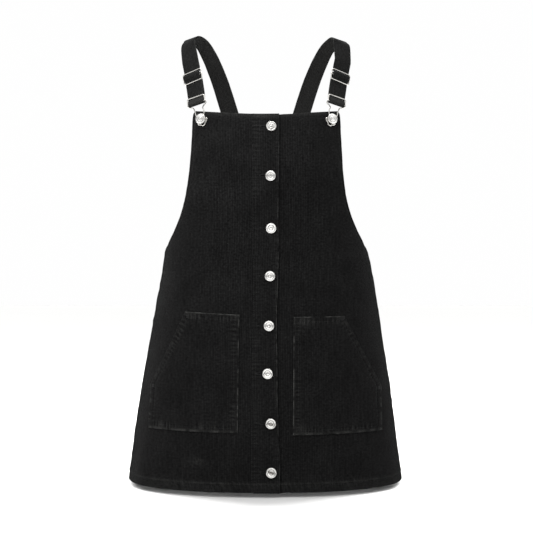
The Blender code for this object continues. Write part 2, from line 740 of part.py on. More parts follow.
def make_strap(name, side, material):
    """Flat band with rounded edges along the strap's line."""
    line, inwards = strap_line(side)
    origin, up = strap_frame(side)[:2]
    half, thick = STRAP_WIDTH / 2, STRAP_THICK / 2
    flat = half - STRAP_ROUNDING
    section = [(-half, 0.0), (-flat, thick), (flat, thick),
               (half, 0.0), (flat, -thick), (-flat, -thick)]
    points, faces = [], []
    count = len(line)
    for k, (place, facing) in enumerate(line):
        along = (line[min(k + 1, count - 1)][0] - line[max(k - 1, 0)][0]).normalized()
        if facing is None:
            across = inwards
        else:
            across = along.cross(facing) if side < 0 else facing.cross(along)
        across = (across - along * across.dot(along)).normalized()
        out = across.cross(along) if side < 0 else along.cross(across)
        if facing is None:
            fold = 1.0 - smoothstep(*FOLD_BLEND, (place - origin).dot(up))
            across = across * (1.0 - FOLD_NARROW * fold) - up * (FOLD_SKEW * fold)
        points += [(place + across * u + out * v) * MM for u, v in section]
    sides = len(section)
    for k in range(count - 1):
        for s in range(sides):
            t = (s + 1) % sides
            faces.append((k * sides + s, (k + 1) * sides + s, (k + 1) * sides + t, k * sides + t))
    faces.append(tuple(range(sides)))
    faces.append(tuple(reversed(range((count - 1) * sides, count * sides))))
    mesh = bpy.data.meshes.new(name)
    mesh.from_pydata(points, [], faces)
    shape = bmesh.new()
    shape.from_mesh(mesh)
    bmesh.ops.recalc_face_normals(shape, faces=shape.faces)
    shape.to_mesh(mesh)
    shape.free()
    shade(mesh, 50.0)
    return link(name, mesh, material)


def joined(name, meshes, material):
    """One solid from several wires that run into each other."""
    base = solid_out(meshes[0], name)
    base.data.materials.append(material)
    boolean(base, [solid_out(mesh, name + "_part") for mesh in meshes[1:]], "UNION")
    base.data.name = name
    shade(base.data, 60.0)
    return base


def bar_with_sleeves(origin, along, across, rail):
    """A cross bar whose ends are curled round the side rails."""
    bar = tube([origin - across * rail, origin + across * rail], WIRE)
    sleeves = [tube([origin + across * rail * end - along * SLEEVE_REACH,
                     origin + across * rail * end + along * SLEEVE_REACH], WIRE + SLEEVE_WALL, 8)
               for end in (-1.0, 1.0)]
    return [bar] + sleeves


def corner(centre, radius, start, end, steps=3):
    """Points of a rounded corner in (across, up)."""
    return [(centre[0] + radius * math.cos(math.radians(start + (end - start) * k / steps)),
             centre[1] + radius * math.sin(math.radians(start + (end - start) * k / steps)))
            for k in range(steps + 1)]


def make_slider(name, side, material):
    """Rectangular wire slider with a middle bar."""
    origin, up, out, inwards = strap_frame(side)
    low, middle, high = SLIDER_BARS
    bend = FRAME_BEND
    outline = (corner((RAIL - bend, high - bend), bend, 0.0, 90.0)
               + corner((-RAIL + bend, high - bend), bend, 90.0, 180.0)
               + corner((-RAIL + bend, low + bend), bend, 180.0, 270.0)
               + corner((RAIL - bend, low + bend), bend, 270.0, 360.0))
    loop = [origin + inwards * u + up * s for u, s in outline]
    wires = [tube(loop, WIRE, closed=True)]
    wires += bar_with_sleeves(origin + up * middle, up, inwards, RAIL)
    return joined(name, wires, material)


def hook_frame(side):
    """Axes of the hook, which lies flat on the bib: its middle point, up, out and inwards."""
    across, height = CLIP_BUTTON
    angle = side * angle_at_x(across, height)
    button = skin(angle, height)
    out = skin_normal(angle, height)
    level = Vector((-side, 0.0, 0.0))
    level = (level - out * level.dot(out)).normalized()
    rise = level.cross(out)
    if rise.z < 0:
        rise = -rise
    tilt = math.radians(HOOK_TILT)
    across_hook = level * math.cos(tilt) + rise * math.sin(tilt)
    up = rise * math.cos(tilt) - level * math.sin(tilt)
    return button + across_hook * HOOK_OFFSET, up, out, across_hook


def make_clip(name, side, material):
    """Wire clip: a frame on the strap, and below it the hook that the button sits in."""
    origin, up, out, inwards = strap_frame(side)
    middle, hook_up, hook_out, hook_across = hook_frame(side)
    slant = inwards - up * FOLD_SKEW
    bend = FRAME_BEND
    start = corner((CLIP_RAIL_REACH - bend, CLIP_TOP_BAR - bend), bend, 90.0, 0.0)
    upper = [(u, s, 0.0) for u, s in start]
    upper += CLIP_RAIL

    def half(sign):
        points = [origin + slant * sign * u + up * s + out * n for u, s, n in upper]
        for u, v in HOOK:
            points.append(middle + hook_across * sign * u + hook_up * v + hook_out * HOOK_OUT)
        return points

    right, left = half(1.0), half(-1.0)
    end = middle + hook_up * HOOK_END + hook_out * HOOK_OUT
    corner_points = len(start)
    straight = right[:corner_points]
    curve = spline(right[corner_points - 1:] + [end] + list(reversed(left[corner_points - 1:])), 2)
    loop = straight[:-1] + curve + list(reversed(left[:corner_points]))[1:]
    wires = [tube(loop, WIRE, closed=True)]
    wires += bar_with_sleeves(origin, up, slant, CLIP_RAIL_REACH)
    return joined(name, wires, material)


def turned(name, profile, place, axis, material, sides=18):
    """Solid turned from a profile of (radius, height) round an axis, bottom to top."""
    reference = axis.orthogonal().normalized()
    across = axis.cross(reference)
    points, faces, rings = [], [], []
    for radius, height in profile:
        ring = []
        if radius == 0.0:
            ring = [len(points)]
            points.append((place + axis * height) * MM)
        else:
            for s in range(sides):
                angle = 2.0 * math.pi * s / sides
                ring.append(len(points))
                spoke = reference * math.cos(angle) + across * math.sin(angle)
                points.append((place + spoke * radius + axis * height) * MM)
        rings.append(ring)
    for low, high in zip(rings, rings[1:]):
        for s in range(sides):
            t = (s + 1) % sides
            if len(low) == 1:
                faces.append((low[0], high[t], high[s]))
            elif len(high) == 1:
                faces.append((low[s], low[t], high[0]))
            else:
                faces.append((low[s], low[t], high[t], high[s]))
    mesh = bpy.data.meshes.new(name)
    mesh.from_pydata(points, [], faces)
    shade(mesh, 35.0)
    return link(name, mesh, material)


def make_button(name, place, axis, radius, under, material):
    """Shank button with a rolled rim and a low dome; under is the shank's length."""
    profile = [
        (0.0, 0.0),
        (SHANK_RADIUS, 0.0),
        (SHANK_RADIUS, under),
        (radius - 0.7, under),
        (radius, under + 0.8),
        (radius - 0.5, under + 1.9),
        (radius - 2.1, under + 2.0),
        (radius - 2.9, under + 1.5),
        (radius * 0.35, under + 2.5),
        (0.0, under + 2.7),
    ]
    return turned(name, profile, place, axis, material)


def make_material(name, colour, roughness, metallic):
    material = bpy.data.materials.new(name)
    material.use_nodes = True
    shader = material.node_tree.nodes["Principled BSDF"]
    shader.inputs["Base Color"].default_value = (*colour, 1.0)
    shader.inputs["Roughness"].default_value = roughness
    shader.inputs["Metallic"].default_value = metallic
    return material


def main():
    for old in list(bpy.data.objects):
        bpy.data.objects.remove(old)

    corduroy = make_material("black_corduroy", (0.012, 0.012, 0.013), 0.95, 0.0)
    nickel = make_material("nickel_plated_brass", (0.72, 0.71, 0.69), 0.22, 1.0)
    wire = make_material("nickel_plated_wire", (0.66, 0.65, 0.62), 0.28, 1.0)

    make_front("front_left_as_seen", -1, corduroy)
    make_front("front_right_as_seen", 1, corduroy)
    make_back(corduroy)
    make_band(corduroy)
    make_pocket("pocket_left_as_seen", -1, corduroy)
    make_pocket("pocket_right_as_seen", 1, corduroy)

    for number, (height, shift) in enumerate(zip(BUTTON_HEIGHTS, BUTTON_SHIFTS), 1):
        x = BUTTON_X + shift
        axis = skin_normal(angle_at_x(x, height), height)
        foot = -(CLOTH + LAYER_GAP) + WIRE_GAP
        place = band_point(x, height, 0.0) + axis * foot
        under = BAND_PROUD - foot + 1.0
        make_button(f"button_{number}", place, axis, BUTTON_RADIUS, under, nickel)

    for side, word in ((-1, "left"), (1, "right")):
        make_strap(f"strap_{word}_as_seen", side, corduroy)
        make_slider(f"slider_{word}_as_seen", side, wire)
        make_clip(f"clip_{word}_as_seen", side, wire)
        across, height = CLIP_BUTTON
        angle = side * angle_at_x(across, height)
        normal = skin_normal(angle, height)
        axis = (normal.lerp(Vector((0.0, -1.0, 0.0)), CLIP_BUTTON_TURN)).normalized()
        place = skin(angle, height) + normal * CLIP_BUTTON_FOOT
        make_button(f"clip_button_{word}_as_seen", place, axis, CLIP_BUTTON_RADIUS,
                    CLIP_BUTTON_UNDER, nickel)


main()
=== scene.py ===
# Corduroy pinafore dress: the looks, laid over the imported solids.
# Lengths in the tables are millimetres; meshes are made in metres. +Z up, the front faces -Y.
import math

import bpy
import numpy as np
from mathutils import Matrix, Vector


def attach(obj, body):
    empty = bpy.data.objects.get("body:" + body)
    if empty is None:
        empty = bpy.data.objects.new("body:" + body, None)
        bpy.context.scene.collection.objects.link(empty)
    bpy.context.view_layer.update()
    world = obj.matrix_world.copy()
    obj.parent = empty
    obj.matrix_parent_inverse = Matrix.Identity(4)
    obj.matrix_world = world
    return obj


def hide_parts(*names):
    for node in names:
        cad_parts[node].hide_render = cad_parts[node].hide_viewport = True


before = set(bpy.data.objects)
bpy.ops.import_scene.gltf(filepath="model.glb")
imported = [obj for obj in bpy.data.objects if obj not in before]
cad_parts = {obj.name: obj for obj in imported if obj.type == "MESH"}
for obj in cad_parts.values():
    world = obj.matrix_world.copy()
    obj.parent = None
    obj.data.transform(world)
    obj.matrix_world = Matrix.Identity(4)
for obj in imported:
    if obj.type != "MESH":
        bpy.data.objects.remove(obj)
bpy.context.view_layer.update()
mm = 0.001
print("frame loaded:", len(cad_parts), "solids")


# small helpers shared by everything below
def hexColour(code):
    parts = [int(code[i:i + 2], 16) / 255 for i in (1, 3, 5)]
    linear = [c / 12.92 if c <= 0.04045 else ((c + 0.055) / 1.055) ** 2.4 for c in parts]
    return (*linear, 1.0)


def addNode(tree, kind, settings=None, inputs=None):
    node = tree.nodes.new(kind)
    for key, value in (settings or {}).items():
        setattr(node, key, value)
    for key, value in (inputs or {}).items():
        if isinstance(value, bpy.types.NodeSocket):
            tree.links.new(value, node.inputs[key])
        else:
            node.inputs[key].default_value = value
    return node


def newMaterial(name):
    material = bpy.data.materials.new(name)
    material.use_nodes = True
    tree = material.node_tree
    return material, tree, tree.nodes["Principled BSDF"]


def smoothStep(low, high, value):
    t = np.clip((value - low) / (high - low), 0.0, 1.0)
    return t * t * (3.0 - 2.0 * t)


def latticeValue(i, j, seed):
    n = np.sin(i * 127.1 + j * 311.7 + seed * 74.7) * 43758.5453
    return n - np.floor(n)


def softNoise(x, y, seed):
    # value noise from 0 to 1, one lump per unit of x and y
    i, j = np.floor(x), np.floor(y)
    s, t = x - i, y - j
    s, t = s * s * (3 - 2 * s), t * t * (3 - 2 * t)
    low = latticeValue(i, j, seed) * (1 - s) + latticeValue(i + 1, j, seed) * s
    high = latticeValue(i, j + 1, seed) * (1 - s) + latticeValue(i + 1, j + 1, seed) * s
    return low * (1 - t) + high * t


def newPiece(name, points, faces, materials, slot, indices=None, uv=None, wearAndLight=None):
    # points in millimetres; uv and the wear attribute hold one value for each point, which carries
    # real wear, painted highlights on the cloth and painted dark reflections on the buttons
    mesh = bpy.data.meshes.new(name)
    mesh.from_pydata((np.asarray(points, float) * mm).tolist(), [], faces)
    for material in materials:
        mesh.materials.append(material)
    if indices is not None:
        mesh.polygons.foreach_set("material_index", indices)
    if uv is not None:
        layer = mesh.uv_layers.new(name="cut")
        loops = np.zeros(len(mesh.loops), np.int32)
        mesh.loops.foreach_get("vertex_index", loops)
        layer.data.foreach_set("uv", (np.asarray(uv, float)[loops] * mm).ravel())
    if wearAndLight is not None:
        store = mesh.attributes.new("wearAndLight", "FLOAT", "POINT")
        store.data.foreach_set("value", np.asarray(wearAndLight, np.float32))
    mesh.shade_smooth()
    mesh.update()
    piece = bpy.data.objects.new(name, mesh)
    groups["fittings" if slot.startswith("nickel") else "cloth"].objects.link(piece)
    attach(piece, "root")
    return piece


# camera, floor and light; lengths here are metres
studio = {
    "camera": (0.0, -2.0, -0.4068),
    "lens": 75.04,
    "floorHeight": -0.7915,        # just under the hem
    "floorColour": "#fbfbfa",
    "floorHalf": 9.0,
    "tentLow": 0.31,               # light from the sides and from above
    "tentHigh": 1.31,
    "tentRise": (-0.1, 0.9),
    "tentFront": 0.55,             # nothing bright stands behind the camera
    "frontFade": (-0.95, -0.6),
    "backdrop": 0.995,             # how bright the tent itself looks
    # name: what it lights, place, aim, width and depth, power
    "lamps": {
        "above": ("garment", (0.0, 0.2, 2.3), (0.0, 0.0, -0.4), (2.4, 0.6), 40.0),
        "front": ("cloth", (-0.4, -0.9, 0.3), (0.0, -0.1, -0.3), (0.8, 0.4), 17.0),
        "left": ("floor", (-1.6, 1.1, 0.8), (0.0, 0.0, -0.8), (0.6, 1.8), 60.0),
        "right": ("floor", (1.6, 1.1, 0.8), (0.0, 0.0, -0.8), (0.6, 1.8), 60.0),
    },
}


def buildStudio(look):
    scene = bpy.context.scene
    scene.view_settings.view_transform = "Standard"
    camera = bpy.data.cameras.new("camera")
    camera.lens = look["lens"]
    camera.sensor_width = 36.0
    eye = bpy.data.objects.new("camera", camera)
    eye.location = look["camera"]
    eye.rotation_euler = (math.radians(90.0), 0.0, 0.0)
    scene.collection.objects.link(eye)
    scene.camera = eye

    world = bpy.data.worlds.new("studio")
    scene.world = world
    world.use_nodes = True
    # plain white to look at, but its light comes mostly from above, as from a big soft tent
    tree = world.node_tree
    back = tree.nodes["Background"]
    low, high = look["tentRise"]
    near, far = look["frontFade"]
    way = addNode(tree, "ShaderNodeTexCoord")
    split = addNode(tree, "ShaderNodeSeparateXYZ", None, {0: way.outputs["Generated"]})
    tent = addNode(tree, "ShaderNodeMapRange", None,
                   {"Value": split.outputs["Z"], "From Min": low, "From Max": high,
                    "To Min": look["tentLow"], "To Max": look["tentHigh"]})
    front = addNode(tree, "ShaderNodeMapRange", {"interpolation_type": "SMOOTHSTEP"},
                    {"Value": split.outputs["Y"], "From Min": near, "From Max": far,
                     "To Min": look["tentFront"], "To Max": 1.0})
    strength = addNode(tree, "ShaderNodeMath", {"operation": "MULTIPLY"},
                       {0: tent.outputs[0], 1: front.outputs[0]})
    ray = addNode(tree, "ShaderNodeLightPath")
    seen = addNode(tree, "ShaderNodeMix", None,
                   {0: ray.outputs["Is Camera Ray"], 2: strength.outputs[0],
                    3: look["backdrop"]})
    tree.links.new(seen.outputs[0], back.inputs["Strength"])
    back.inputs["Color"].default_value = (1.0, 1.0, 1.0, 1.0)

    paint, _, shader = newMaterial("matt_white_floor")   # painted board: flat, no gloss
    shader.inputs["Base Color"].default_value = hexColour(look["floorColour"])
    shader.inputs["Roughness"].default_value = 0.9
    shader.inputs["Specular IOR Level"].default_value = 0.1
    mesh = bpy.data.meshes.new("floor")
    half, z = look["floorHalf"], look["floorHeight"]
    corners = [(-half, -half, z), (half, -half, z), (half, half, z), (-half, half, z)]
    mesh.from_pydata(corners, [], [(0, 1, 2, 3)])
    mesh.materials.append(paint)
    floor = bpy.data.objects.new("floor", mesh)
    groups["floor"].objects.link(floor)

    for name, (lit, place, aim, size, power) in look["lamps"].items():
        lamp = bpy.data.lights.new(name, "AREA")
        lamp.shape = "RECTANGLE"
        lamp.size, lamp.size_y = size
        lamp.energy = power
        holder = bpy.data.objects.new(name, lamp)
        holder.location = place
        holder.rotation_euler = (Vector(aim) - Vector(place)).to_track_quat("-Z", "Y").to_euler()
        holder.light_linking.receiver_collection = groups[lit]
        scene.collection.objects.link(holder)


groups = {}
for name, parent in (("garment", None), ("cloth", "garment"), ("fittings", "garment"),
                     ("floor", None)):
    groups[name] = bpy.data.collections.new(name)
    above = groups[parent] if parent else bpy.context.scene.collection
    above.children.link(groups[name])
buildStudio(studio)
print("studio built")


# the face of the cloth
corduroy = {
    "pitch": 2.9,                 # one wale and its groove
    "round": 0.6,                 # how full a wale is between its grooves
    # painted shade: the grooves between the wales are darker than the crests
    "grooveShade": "#050505",
    "crest": "#121212",
    # the worn colour also serves the painted highlights on pucker crests, the bib's top edge and the
    # straps' inner face
    "worn": "#565654",            # pile rubbed down to the ground weave
    # patterns: lumps to the metre, across the wales and along them
    "fibres": (2000.0, 830.0),    # pile fibres, 0.5 mm by 1.2 mm
    "cells": (200.0, 330.0),      # pile crushed or brushed up, 5 mm by 3 mm
    "lane": 26.0,                 # along one wale, 40 mm
    "laneApart": 3.7,             # from a wale to the next, so that no two are alike
    "patches": 24.0,              # where the pile lies differently, 20 to 50 mm
    # how much lanes, patches, fibres and cells change the tone: times, plus
    "tones": [(0.7, 0.65), (1.0, 0.5), (1.0, 0.5), (2.6, -0.3)],
    "fibreHeight": 0.35,          # the bump, where a whole wale is 1
    "cellHeight": 0.9,
    "bump": 0.0007,
    "roughness": 0.92,
    "specular": 0.04,
    "sheen": 0.035,
    "sheenRoughness": 0.34,
}


def corduroyPile(name, look):
    # cotton corduroy, cut pile: matt, with painted shade that makes the grooves very dark, a soft
    # grey sheen at the edges
    material, tree, shader = newMaterial(name)
    place = addNode(tree, "ShaderNodeUVMap", {"uv_map": "cut"})
    split = addNode(tree, "ShaderNodeSeparateXYZ", None, {0: place.outputs[0]})
    count = addNode(tree, "ShaderNodeMath", {"operation": "MULTIPLY"},
                    {0: split.outputs["X"], 1: 1000.0 / look["pitch"]})
    turn = addNode(tree, "ShaderNodeMath", {"operation": "MULTIPLY"},
                   {0: count.outputs[0], 1: math.pi})
    wave = addNode(tree, "ShaderNodeMath", {"operation": "COSINE"}, {0: turn.outputs[0]})
    both = addNode(tree, "ShaderNodeMath", {"operation": "ABSOLUTE"}, {0: wave.outputs[0]})
    wale = addNode(tree, "ShaderNodeMath", {"operation": "POWER"},
                   {0: both.outputs[0], 1: look["round"]})

    # each wale is a little lighter or darker than the next, and that changes along it
    number = addNode(tree, "ShaderNodeMath", {"operation": "ROUND"}, {0: count.outputs[0]})
    apart = addNode(tree, "ShaderNodeMath", {"operation": "MULTIPLY"},
                    {0: number.outputs[0], 1: look["laneApart"]})
    along = addNode(tree, "ShaderNodeMath", {"operation": "MULTIPLY"},
                    {0: split.outputs["Y"], 1: look["lane"]})
    lane = addNode(tree, "ShaderNodeCombineXYZ", None, {0: apart.outputs[0], 1: along.outputs[0]})
    lanes = addNode(tree, "ShaderNodeTexNoise", {"noise_dimensions": "2D"},
                    {"Vector": lane.outputs[0], "Scale": 1.0, "Detail": 2.0})
    grains = []
    for key, rough in (("fibres", 0.6), ("cells", 0.65)):
        stretch = addNode(tree, "ShaderNodeMapping", None,
                          {"Vector": place.outputs[0], "Scale": (*look[key], 1.0)})
        grains.append(addNode(tree, "ShaderNodeTexNoise", {"noise_dimensions": "2D"},
                              {"Vector": stretch.outputs[0], "Scale": 1.0, "Detail": 3.0,
                               "Roughness": rough}))
    fibres, crushed = grains
    solid = addNode(tree, "ShaderNodeTexCoord")
    patches = addNode(tree, "ShaderNodeTexNoise", None,
                      {"Vector": solid.outputs["Object"], "Scale": look["patches"],
                       "Detail": 3.0, "Roughness": 0.55})

    # painted shade in the grooves: the groove colour in them, the crest colour on the wales
    lit = addNode(tree, "ShaderNodeMix", {"data_type": "RGBA"},
                  {0: wale.outputs[0], 6: hexColour(look["grooveShade"]),
                   7: hexColour(look["crest"])})
    shade = lit.outputs[2]
    for pattern, (gain, base) in zip((lanes, patches, fibres, crushed), look["tones"]):
        tone = addNode(tree, "ShaderNodeMath", {"operation": "MULTIPLY_ADD"},
                       {0: pattern.outputs[0], 1: gain, 2: base})
        faded = addNode(tree, "ShaderNodeVectorMath", {"operation": "SCALE"},
                        {0: shade, "Scale": tone.outputs[0]})
        shade = faded.outputs[0]

    # the wear attribute lightens the pile: real rubbing, and painted highlights
    lightened = addNode(tree, "ShaderNodeAttribute", {"attribute_name": "wearAndLight"})
    cut = addNode(tree, "ShaderNodeMapRange", None,
                  {"Value": fibres.outputs[0], "From Min": 0.35, "From Max": 0.65})
    bare = addNode(tree, "ShaderNodeMath", {"operation": "MULTIPLY", "use_clamp": True},
                   {0: lightened.outputs["Fac"], 1: cut.outputs[0]})
    worn = addNode(tree, "ShaderNodeMix", {"data_type": "RGBA"},
                   {0: bare.outputs[0], 6: shade, 7: hexColour(look["worn"])})
    tree.links.new(worn.outputs[2], shader.inputs["Base Color"])

    furry = addNode(tree, "ShaderNodeMath", {"operation": "MULTIPLY_ADD"},
                    {0: fibres.outputs[0], 1: look["fibreHeight"], 2: wale.outputs[0]})
    height = addNode(tree, "ShaderNodeMath", {"operation": "MULTIPLY_ADD"},
                     {0: crushed.outputs[0], 1: look["cellHeight"], 2: furry.outputs[0]})
    bump = addNode(tree, "ShaderNodeBump", None,
                   {"Height": height.outputs[0], "Distance": look["bump"], "Strength": 0.8})
    tree.links.new(bump.outputs[0], shader.inputs["Normal"])
    shader.inputs["Roughness"].default_value = look["roughness"]
    shader.inputs["Specular IOR Level"].default_value = look["specular"]
    shader.inputs["Sheen Weight"].default_value = look["sheen"]
    shader.inputs["Sheen Roughness"].default_value = look["sheenRoughness"]
    return material


# the back of the same cloth: ribs 0.9 mm apart, at a slant, and slubs of 1.4 mm
clothBack = {"dark": "#0e0e10", "light": "#232326", "pitch": 0.9, "slant": 35.0, "slubs": 700.0}


def twillBack(name, look):
    # back of the corduroy, a dyed cotton twill: flat, no pile, fine slanting ribs
    material, tree, shader = newMaterial(name)
    place = addNode(tree, "ShaderNodeUVMap", {"uv_map": "cut"})
    slant = addNode(tree, "ShaderNodeMapping", None,
                    {"Vector": place.outputs[0], "Rotation": (0.0, 0.0, math.radians(look["slant"]))})
    ribs = addNode(tree, "ShaderNodeTexWave", {"wave_type": "BANDS", "bands_direction": "X"},
                   {"Vector": slant.outputs[0], "Scale": 314.0 / look["pitch"],
                    "Distortion": 0.4})
    slubs = addNode(tree, "ShaderNodeTexNoise", {"noise_dimensions": "2D"},
                    {"Vector": place.outputs[0], "Scale": look["slubs"], "Detail": 2.0})
    both = addNode(tree, "ShaderNodeMath", {"operation": "MULTIPLY"},
                   {0: ribs.outputs[1], 1: slubs.outputs[0]})
    mix = addNode(tree, "ShaderNodeMix", {"data_type": "RGBA"},
                  {0: both.outputs[0], 6: hexColour(look["dark"]), 7: hexColour(look["light"])})
    bump = addNode(tree, "ShaderNodeBump", None,
                   {"Height": both.outputs[0], "Distance": 0.0002, "Strength": 0.6})
    tree.links.new(mix.outputs[2], shader.inputs["Base Color"])
    tree.links.new(bump.outputs[0], shader.inputs["Normal"])
    shader.inputs["Roughness"].default_value = 0.9
    shader.inputs["Specular IOR Level"].default_value = 0.15
    return material


# sewing thread, from its dark side to its lit side; its twist turns over in 1.1 mm
sewing = {"colour": "#070707", "light": "#171717", "roughness": 0.7, "twist": 900.0}


def sewingThread(name, look):
    # spun polyester thread, black: a faint gloss that picks each stitch out of the pile
    material, tree, shader = newMaterial(name)
    solid = addNode(tree, "ShaderNodeTexCoord")
    twist = addNode(tree, "ShaderNodeTexNoise", None,
                    {"Vector": solid.outputs["Object"], "Scale": look["twist"], "Detail": 1.0})
    mix = addNode(tree, "ShaderNodeMix", {"data_type": "RGBA"},
                  {0: twist.outputs[0], 6: hexColour(look["colour"]),
                   7: hexColour(look["light"])})
    tree.links.new(mix.outputs[2], shader.inputs["Base Color"])
    shader.inputs["Roughness"].default_value = look["roughness"]
    shader.inputs["Specular IOR Level"].default_value = 0.2
    return material


# clean plate, handled plate and painted dark reflection on the buttons; handling marks of 2.4 mm add
# scratch to the roughness
plating = {
    "marks": 420.0,
    "button": {"colour": "#f5f4f1", "dull": "#b4b1aa", "roughness": 0.2, "scratch": 0.14,
               "reflectionShade": "#55514b"},
    "wire": {"colour": "#d9d7d2", "dull": "#8f8c86", "roughness": 0.24, "scratch": 0.16,
             "reflectionShade": "#55514b"},
}


def nickelPlate(name, look):
    # bright nickel plate on brass or steel: mirror-like, with fine handling marks
    material, tree, shader = newMaterial(name)
    solid = addNode(tree, "ShaderNodeTexCoord")
    marks = addNode(tree, "ShaderNodeTexNoise", None,
                    {"Vector": solid.outputs["Object"], "Scale": plating["marks"], "Detail": 4.0,
                     "Roughness": 0.7})
    dull = addNode(tree, "ShaderNodeMapRange", None,
                   {"Value": marks.outputs[0], "From Min": 0.5, "From Max": 0.75,
                    "To Max": 0.5})
    mix = addNode(tree, "ShaderNodeMix", {"data_type": "RGBA"},
                  {0: dull.outputs[0], 6: hexColour(look["colour"]), 7: hexColour(look["dull"])})
    # the wear attribute puts a painted dark reflection on each button's face
    streakMask = addNode(tree, "ShaderNodeAttribute", {"attribute_name": "wearAndLight"})
    withReflection = addNode(tree, "ShaderNodeMix", {"data_type": "RGBA"},
                      {0: streakMask.outputs["Fac"], 6: mix.outputs[2],
                       7: hexColour(look["reflectionShade"])})
    rough = addNode(tree, "ShaderNodeMath", {"operation": "MULTIPLY_ADD"},
                    {0: marks.outputs[0], 1: look["scratch"], 2: look["roughness"] - 0.07})
    tree.links.new(withReflection.outputs[2], shader.inputs["Base Color"])
    tree.links.new(rough.outputs[0], shader.inputs["Roughness"])
    shader.inputs["Metallic"].default_value = 1.0
    return material


pile = corduroyPile("black_corduroy_pile", corduroy)
backCloth = twillBack("black_corduroy_back", clothBack)
thread = sewingThread("black_polyester_thread", sewing)
buttonMetal = nickelPlate("nickel_plated_brass_button", plating["button"])
wireMetal = nickelPlate("nickel_plated_steel_wire", plating["wire"])
print("materials made")


# the body of the dress, filled out: the same levels as the solids
body = {
    # height, half width, depth in front, depth behind, squareness (2 = ellipse), sway
    "sections": [
        (-100.0, 138.0, 78.0, 90.0, 2.40, 0.0),
        (-145.0, 146.2, 93.0, 99.0, 2.38, 0.0),
        (-190.0, 154.0, 106.0, 103.0, 2.34, 0.0),
        (-245.0, 164.0, 116.5, 102.0, 2.30, -0.8),
        (-310.0, 173.2, 117.5, 96.5, 2.25, -1.4),
        (-375.0, 181.7, 115.0, 94.5, 2.20, -0.8),
        (-400.0, 186.0, 115.8, 96.0, 2.18, 0.6),
        (-440.0, 192.7, 119.0, 103.0, 2.15, 1.0),
        (-540.0, 209.1, 130.5, 122.0, 2.12, -0.4),
        (-615.0, 221.7, 138.0, 134.0, 2.10, -1.1),
        (-690.0, 232.4, 145.0, 142.5, 2.12, -1.9),
        (-740.0, 238.6, 150.0, 147.0, 2.18, -2.0),
        (-783.4, 243.9, 155.0, 150.0, 2.30, -2.0),
    ],
    # angle round the body, depth, spread in degrees, start height
    "hemFolds": [
        (-152.0, -3.2, 10.0, -430.0),
        (-126.0, 3.6, 10.0, -400.0),
        (-104.0, -2.2, 8.0, -520.0),
        (-62.0, 1.9, 9.0, -560.0),
        (-36.0, -1.1, 8.0, -600.0),
        (38.0, -0.9, 9.0, -590.0),
        (64.0, 1.7, 8.0, -540.0),
        (102.0, -2.6, 9.0, -480.0),
        (129.0, 3.1, 11.0, -420.0),
        (157.0, -2.7, 9.0, -450.0),
        (180.0, 3.4, 11.0, -410.0),
    ],
    # height, half width of the bib there
    "bibEdge": [
        (-127.0, 115.0), (-133.5, 123.0), (-136.0, 127.8), (-140.0, 130.4), (-150.0, 131.3),
        (-170.0, 131.6), (-205.0, 132.7), (-240.0, 134.3), (-275.0, 138.4), (-310.0, 146.6),
        (-344.0, 160.8), (-361.0, 170.4), (-371.5, 175.6), (-378.5, 179.6), (-382.0, 182.1),
    ],
    # height, half width of the back there
    "backEdge": [
        (-205.0, 57.0), (-212.0, 61.0), (-220.0, 62.6), (-240.0, 67.0), (-275.0, 82.0),
        (-310.0, 105.0), (-344.0, 139.0), (-361.0, 159.0), (-371.5, 170.5), (-378.5, 177.6),
        (-382.0, 182.1),
    ],
    "bibTop": -144.0,           # at the centre front; its corners are pulled up by cornerLift
    "cornerLift": 10.0,
    "bibHalf": 128.0,
    "liftEnds": -290.0,         # below this nothing is pulled up
    "backTop": -210.0,
    "armholeEnds": -382.0,
    "hem": -783.4,
    "cloth": 1.8,
    "folded": 2.8,              # wall where an edge is turned in
    "layerGap": 0.4,
    "seamOverlap": 0.15,        # degrees by which the panels run past the side seam
    "armholeFoot": 12.0,        # height of the armholes' rounded lowest stretch
    "armholeCurve": 0.62,       # its shape, where 1 is straight
    # the crests of the puckers get a painted highlight
    "lightened": 0.2,              # how light the crests of the puckers are
    "sagBroad": 1.6,            # how far hanging cloth strays from the even body
    "sagSmall": 0.6,
    "seamPucker": 2.0,
    "topTurning": 12.0,
    "hemTurning": 17.0,
    # finer rows below the top edge, above the hem and above the armholes' ends
    "topRows": [0.0, 0.4, 1.2, 2.2, 3.6, 5.5, 7.3, 8.2, 9.0, 9.8, 10.8],
    "hemRows": [0.0, 0.4, 1.2, 2.4, 4.5, 7.0, 9.5, 10.7, 11.5, 12.3, 13.3, 14.4, 15.8, 18.0],
    "armholeRows": [0.0, 0.5, 1.1, 2.0, 3.4, 5.2, 7.5],
    "edgeColumns": (0.0, 0.4, 1.2),     # close columns along both sides
}


def smoothTable(rows, column, heights):
    # monotone cubic through the rows, which run downwards
    keys = np.array([-row[0] for row in rows])
    values = np.array([row[column] for row in rows])
    slope = np.diff(values) / np.diff(keys)
    tangent = np.zeros(len(keys))
    tangent[0], tangent[-1] = slope[0], slope[-1]
    for k in range(1, len(keys) - 1):
        if slope[k - 1] * slope[k] > 0:
            tangent[k] = 2 * slope[k - 1] * slope[k] / (slope[k - 1] + slope[k])
    at = np.clip(-heights, keys[0], keys[-1])
    i = np.clip(np.searchsorted(keys, at, side="right") - 1, 0, len(keys) - 2)
    span = keys[i + 1] - keys[i]
    t = (at - keys[i]) / span
    return ((2 * t**3 - 3 * t**2 + 1) * values[i] + (t**3 - 2 * t**2 + t) * tangent[i] * span
            + (3 * t**2 - 2 * t**3) * values[i + 1] + (t**3 - t**2) * tangent[i + 1] * span)


tableHeights = np.arange(-90.0, -800.0, -1.0)
sectionTable = [smoothTable(body["sections"], c, tableHeights) for c in range(1, 6)]


def sectionAt(height, column):
    return np.interp(-height, -tableHeights, sectionTable[column - 1])


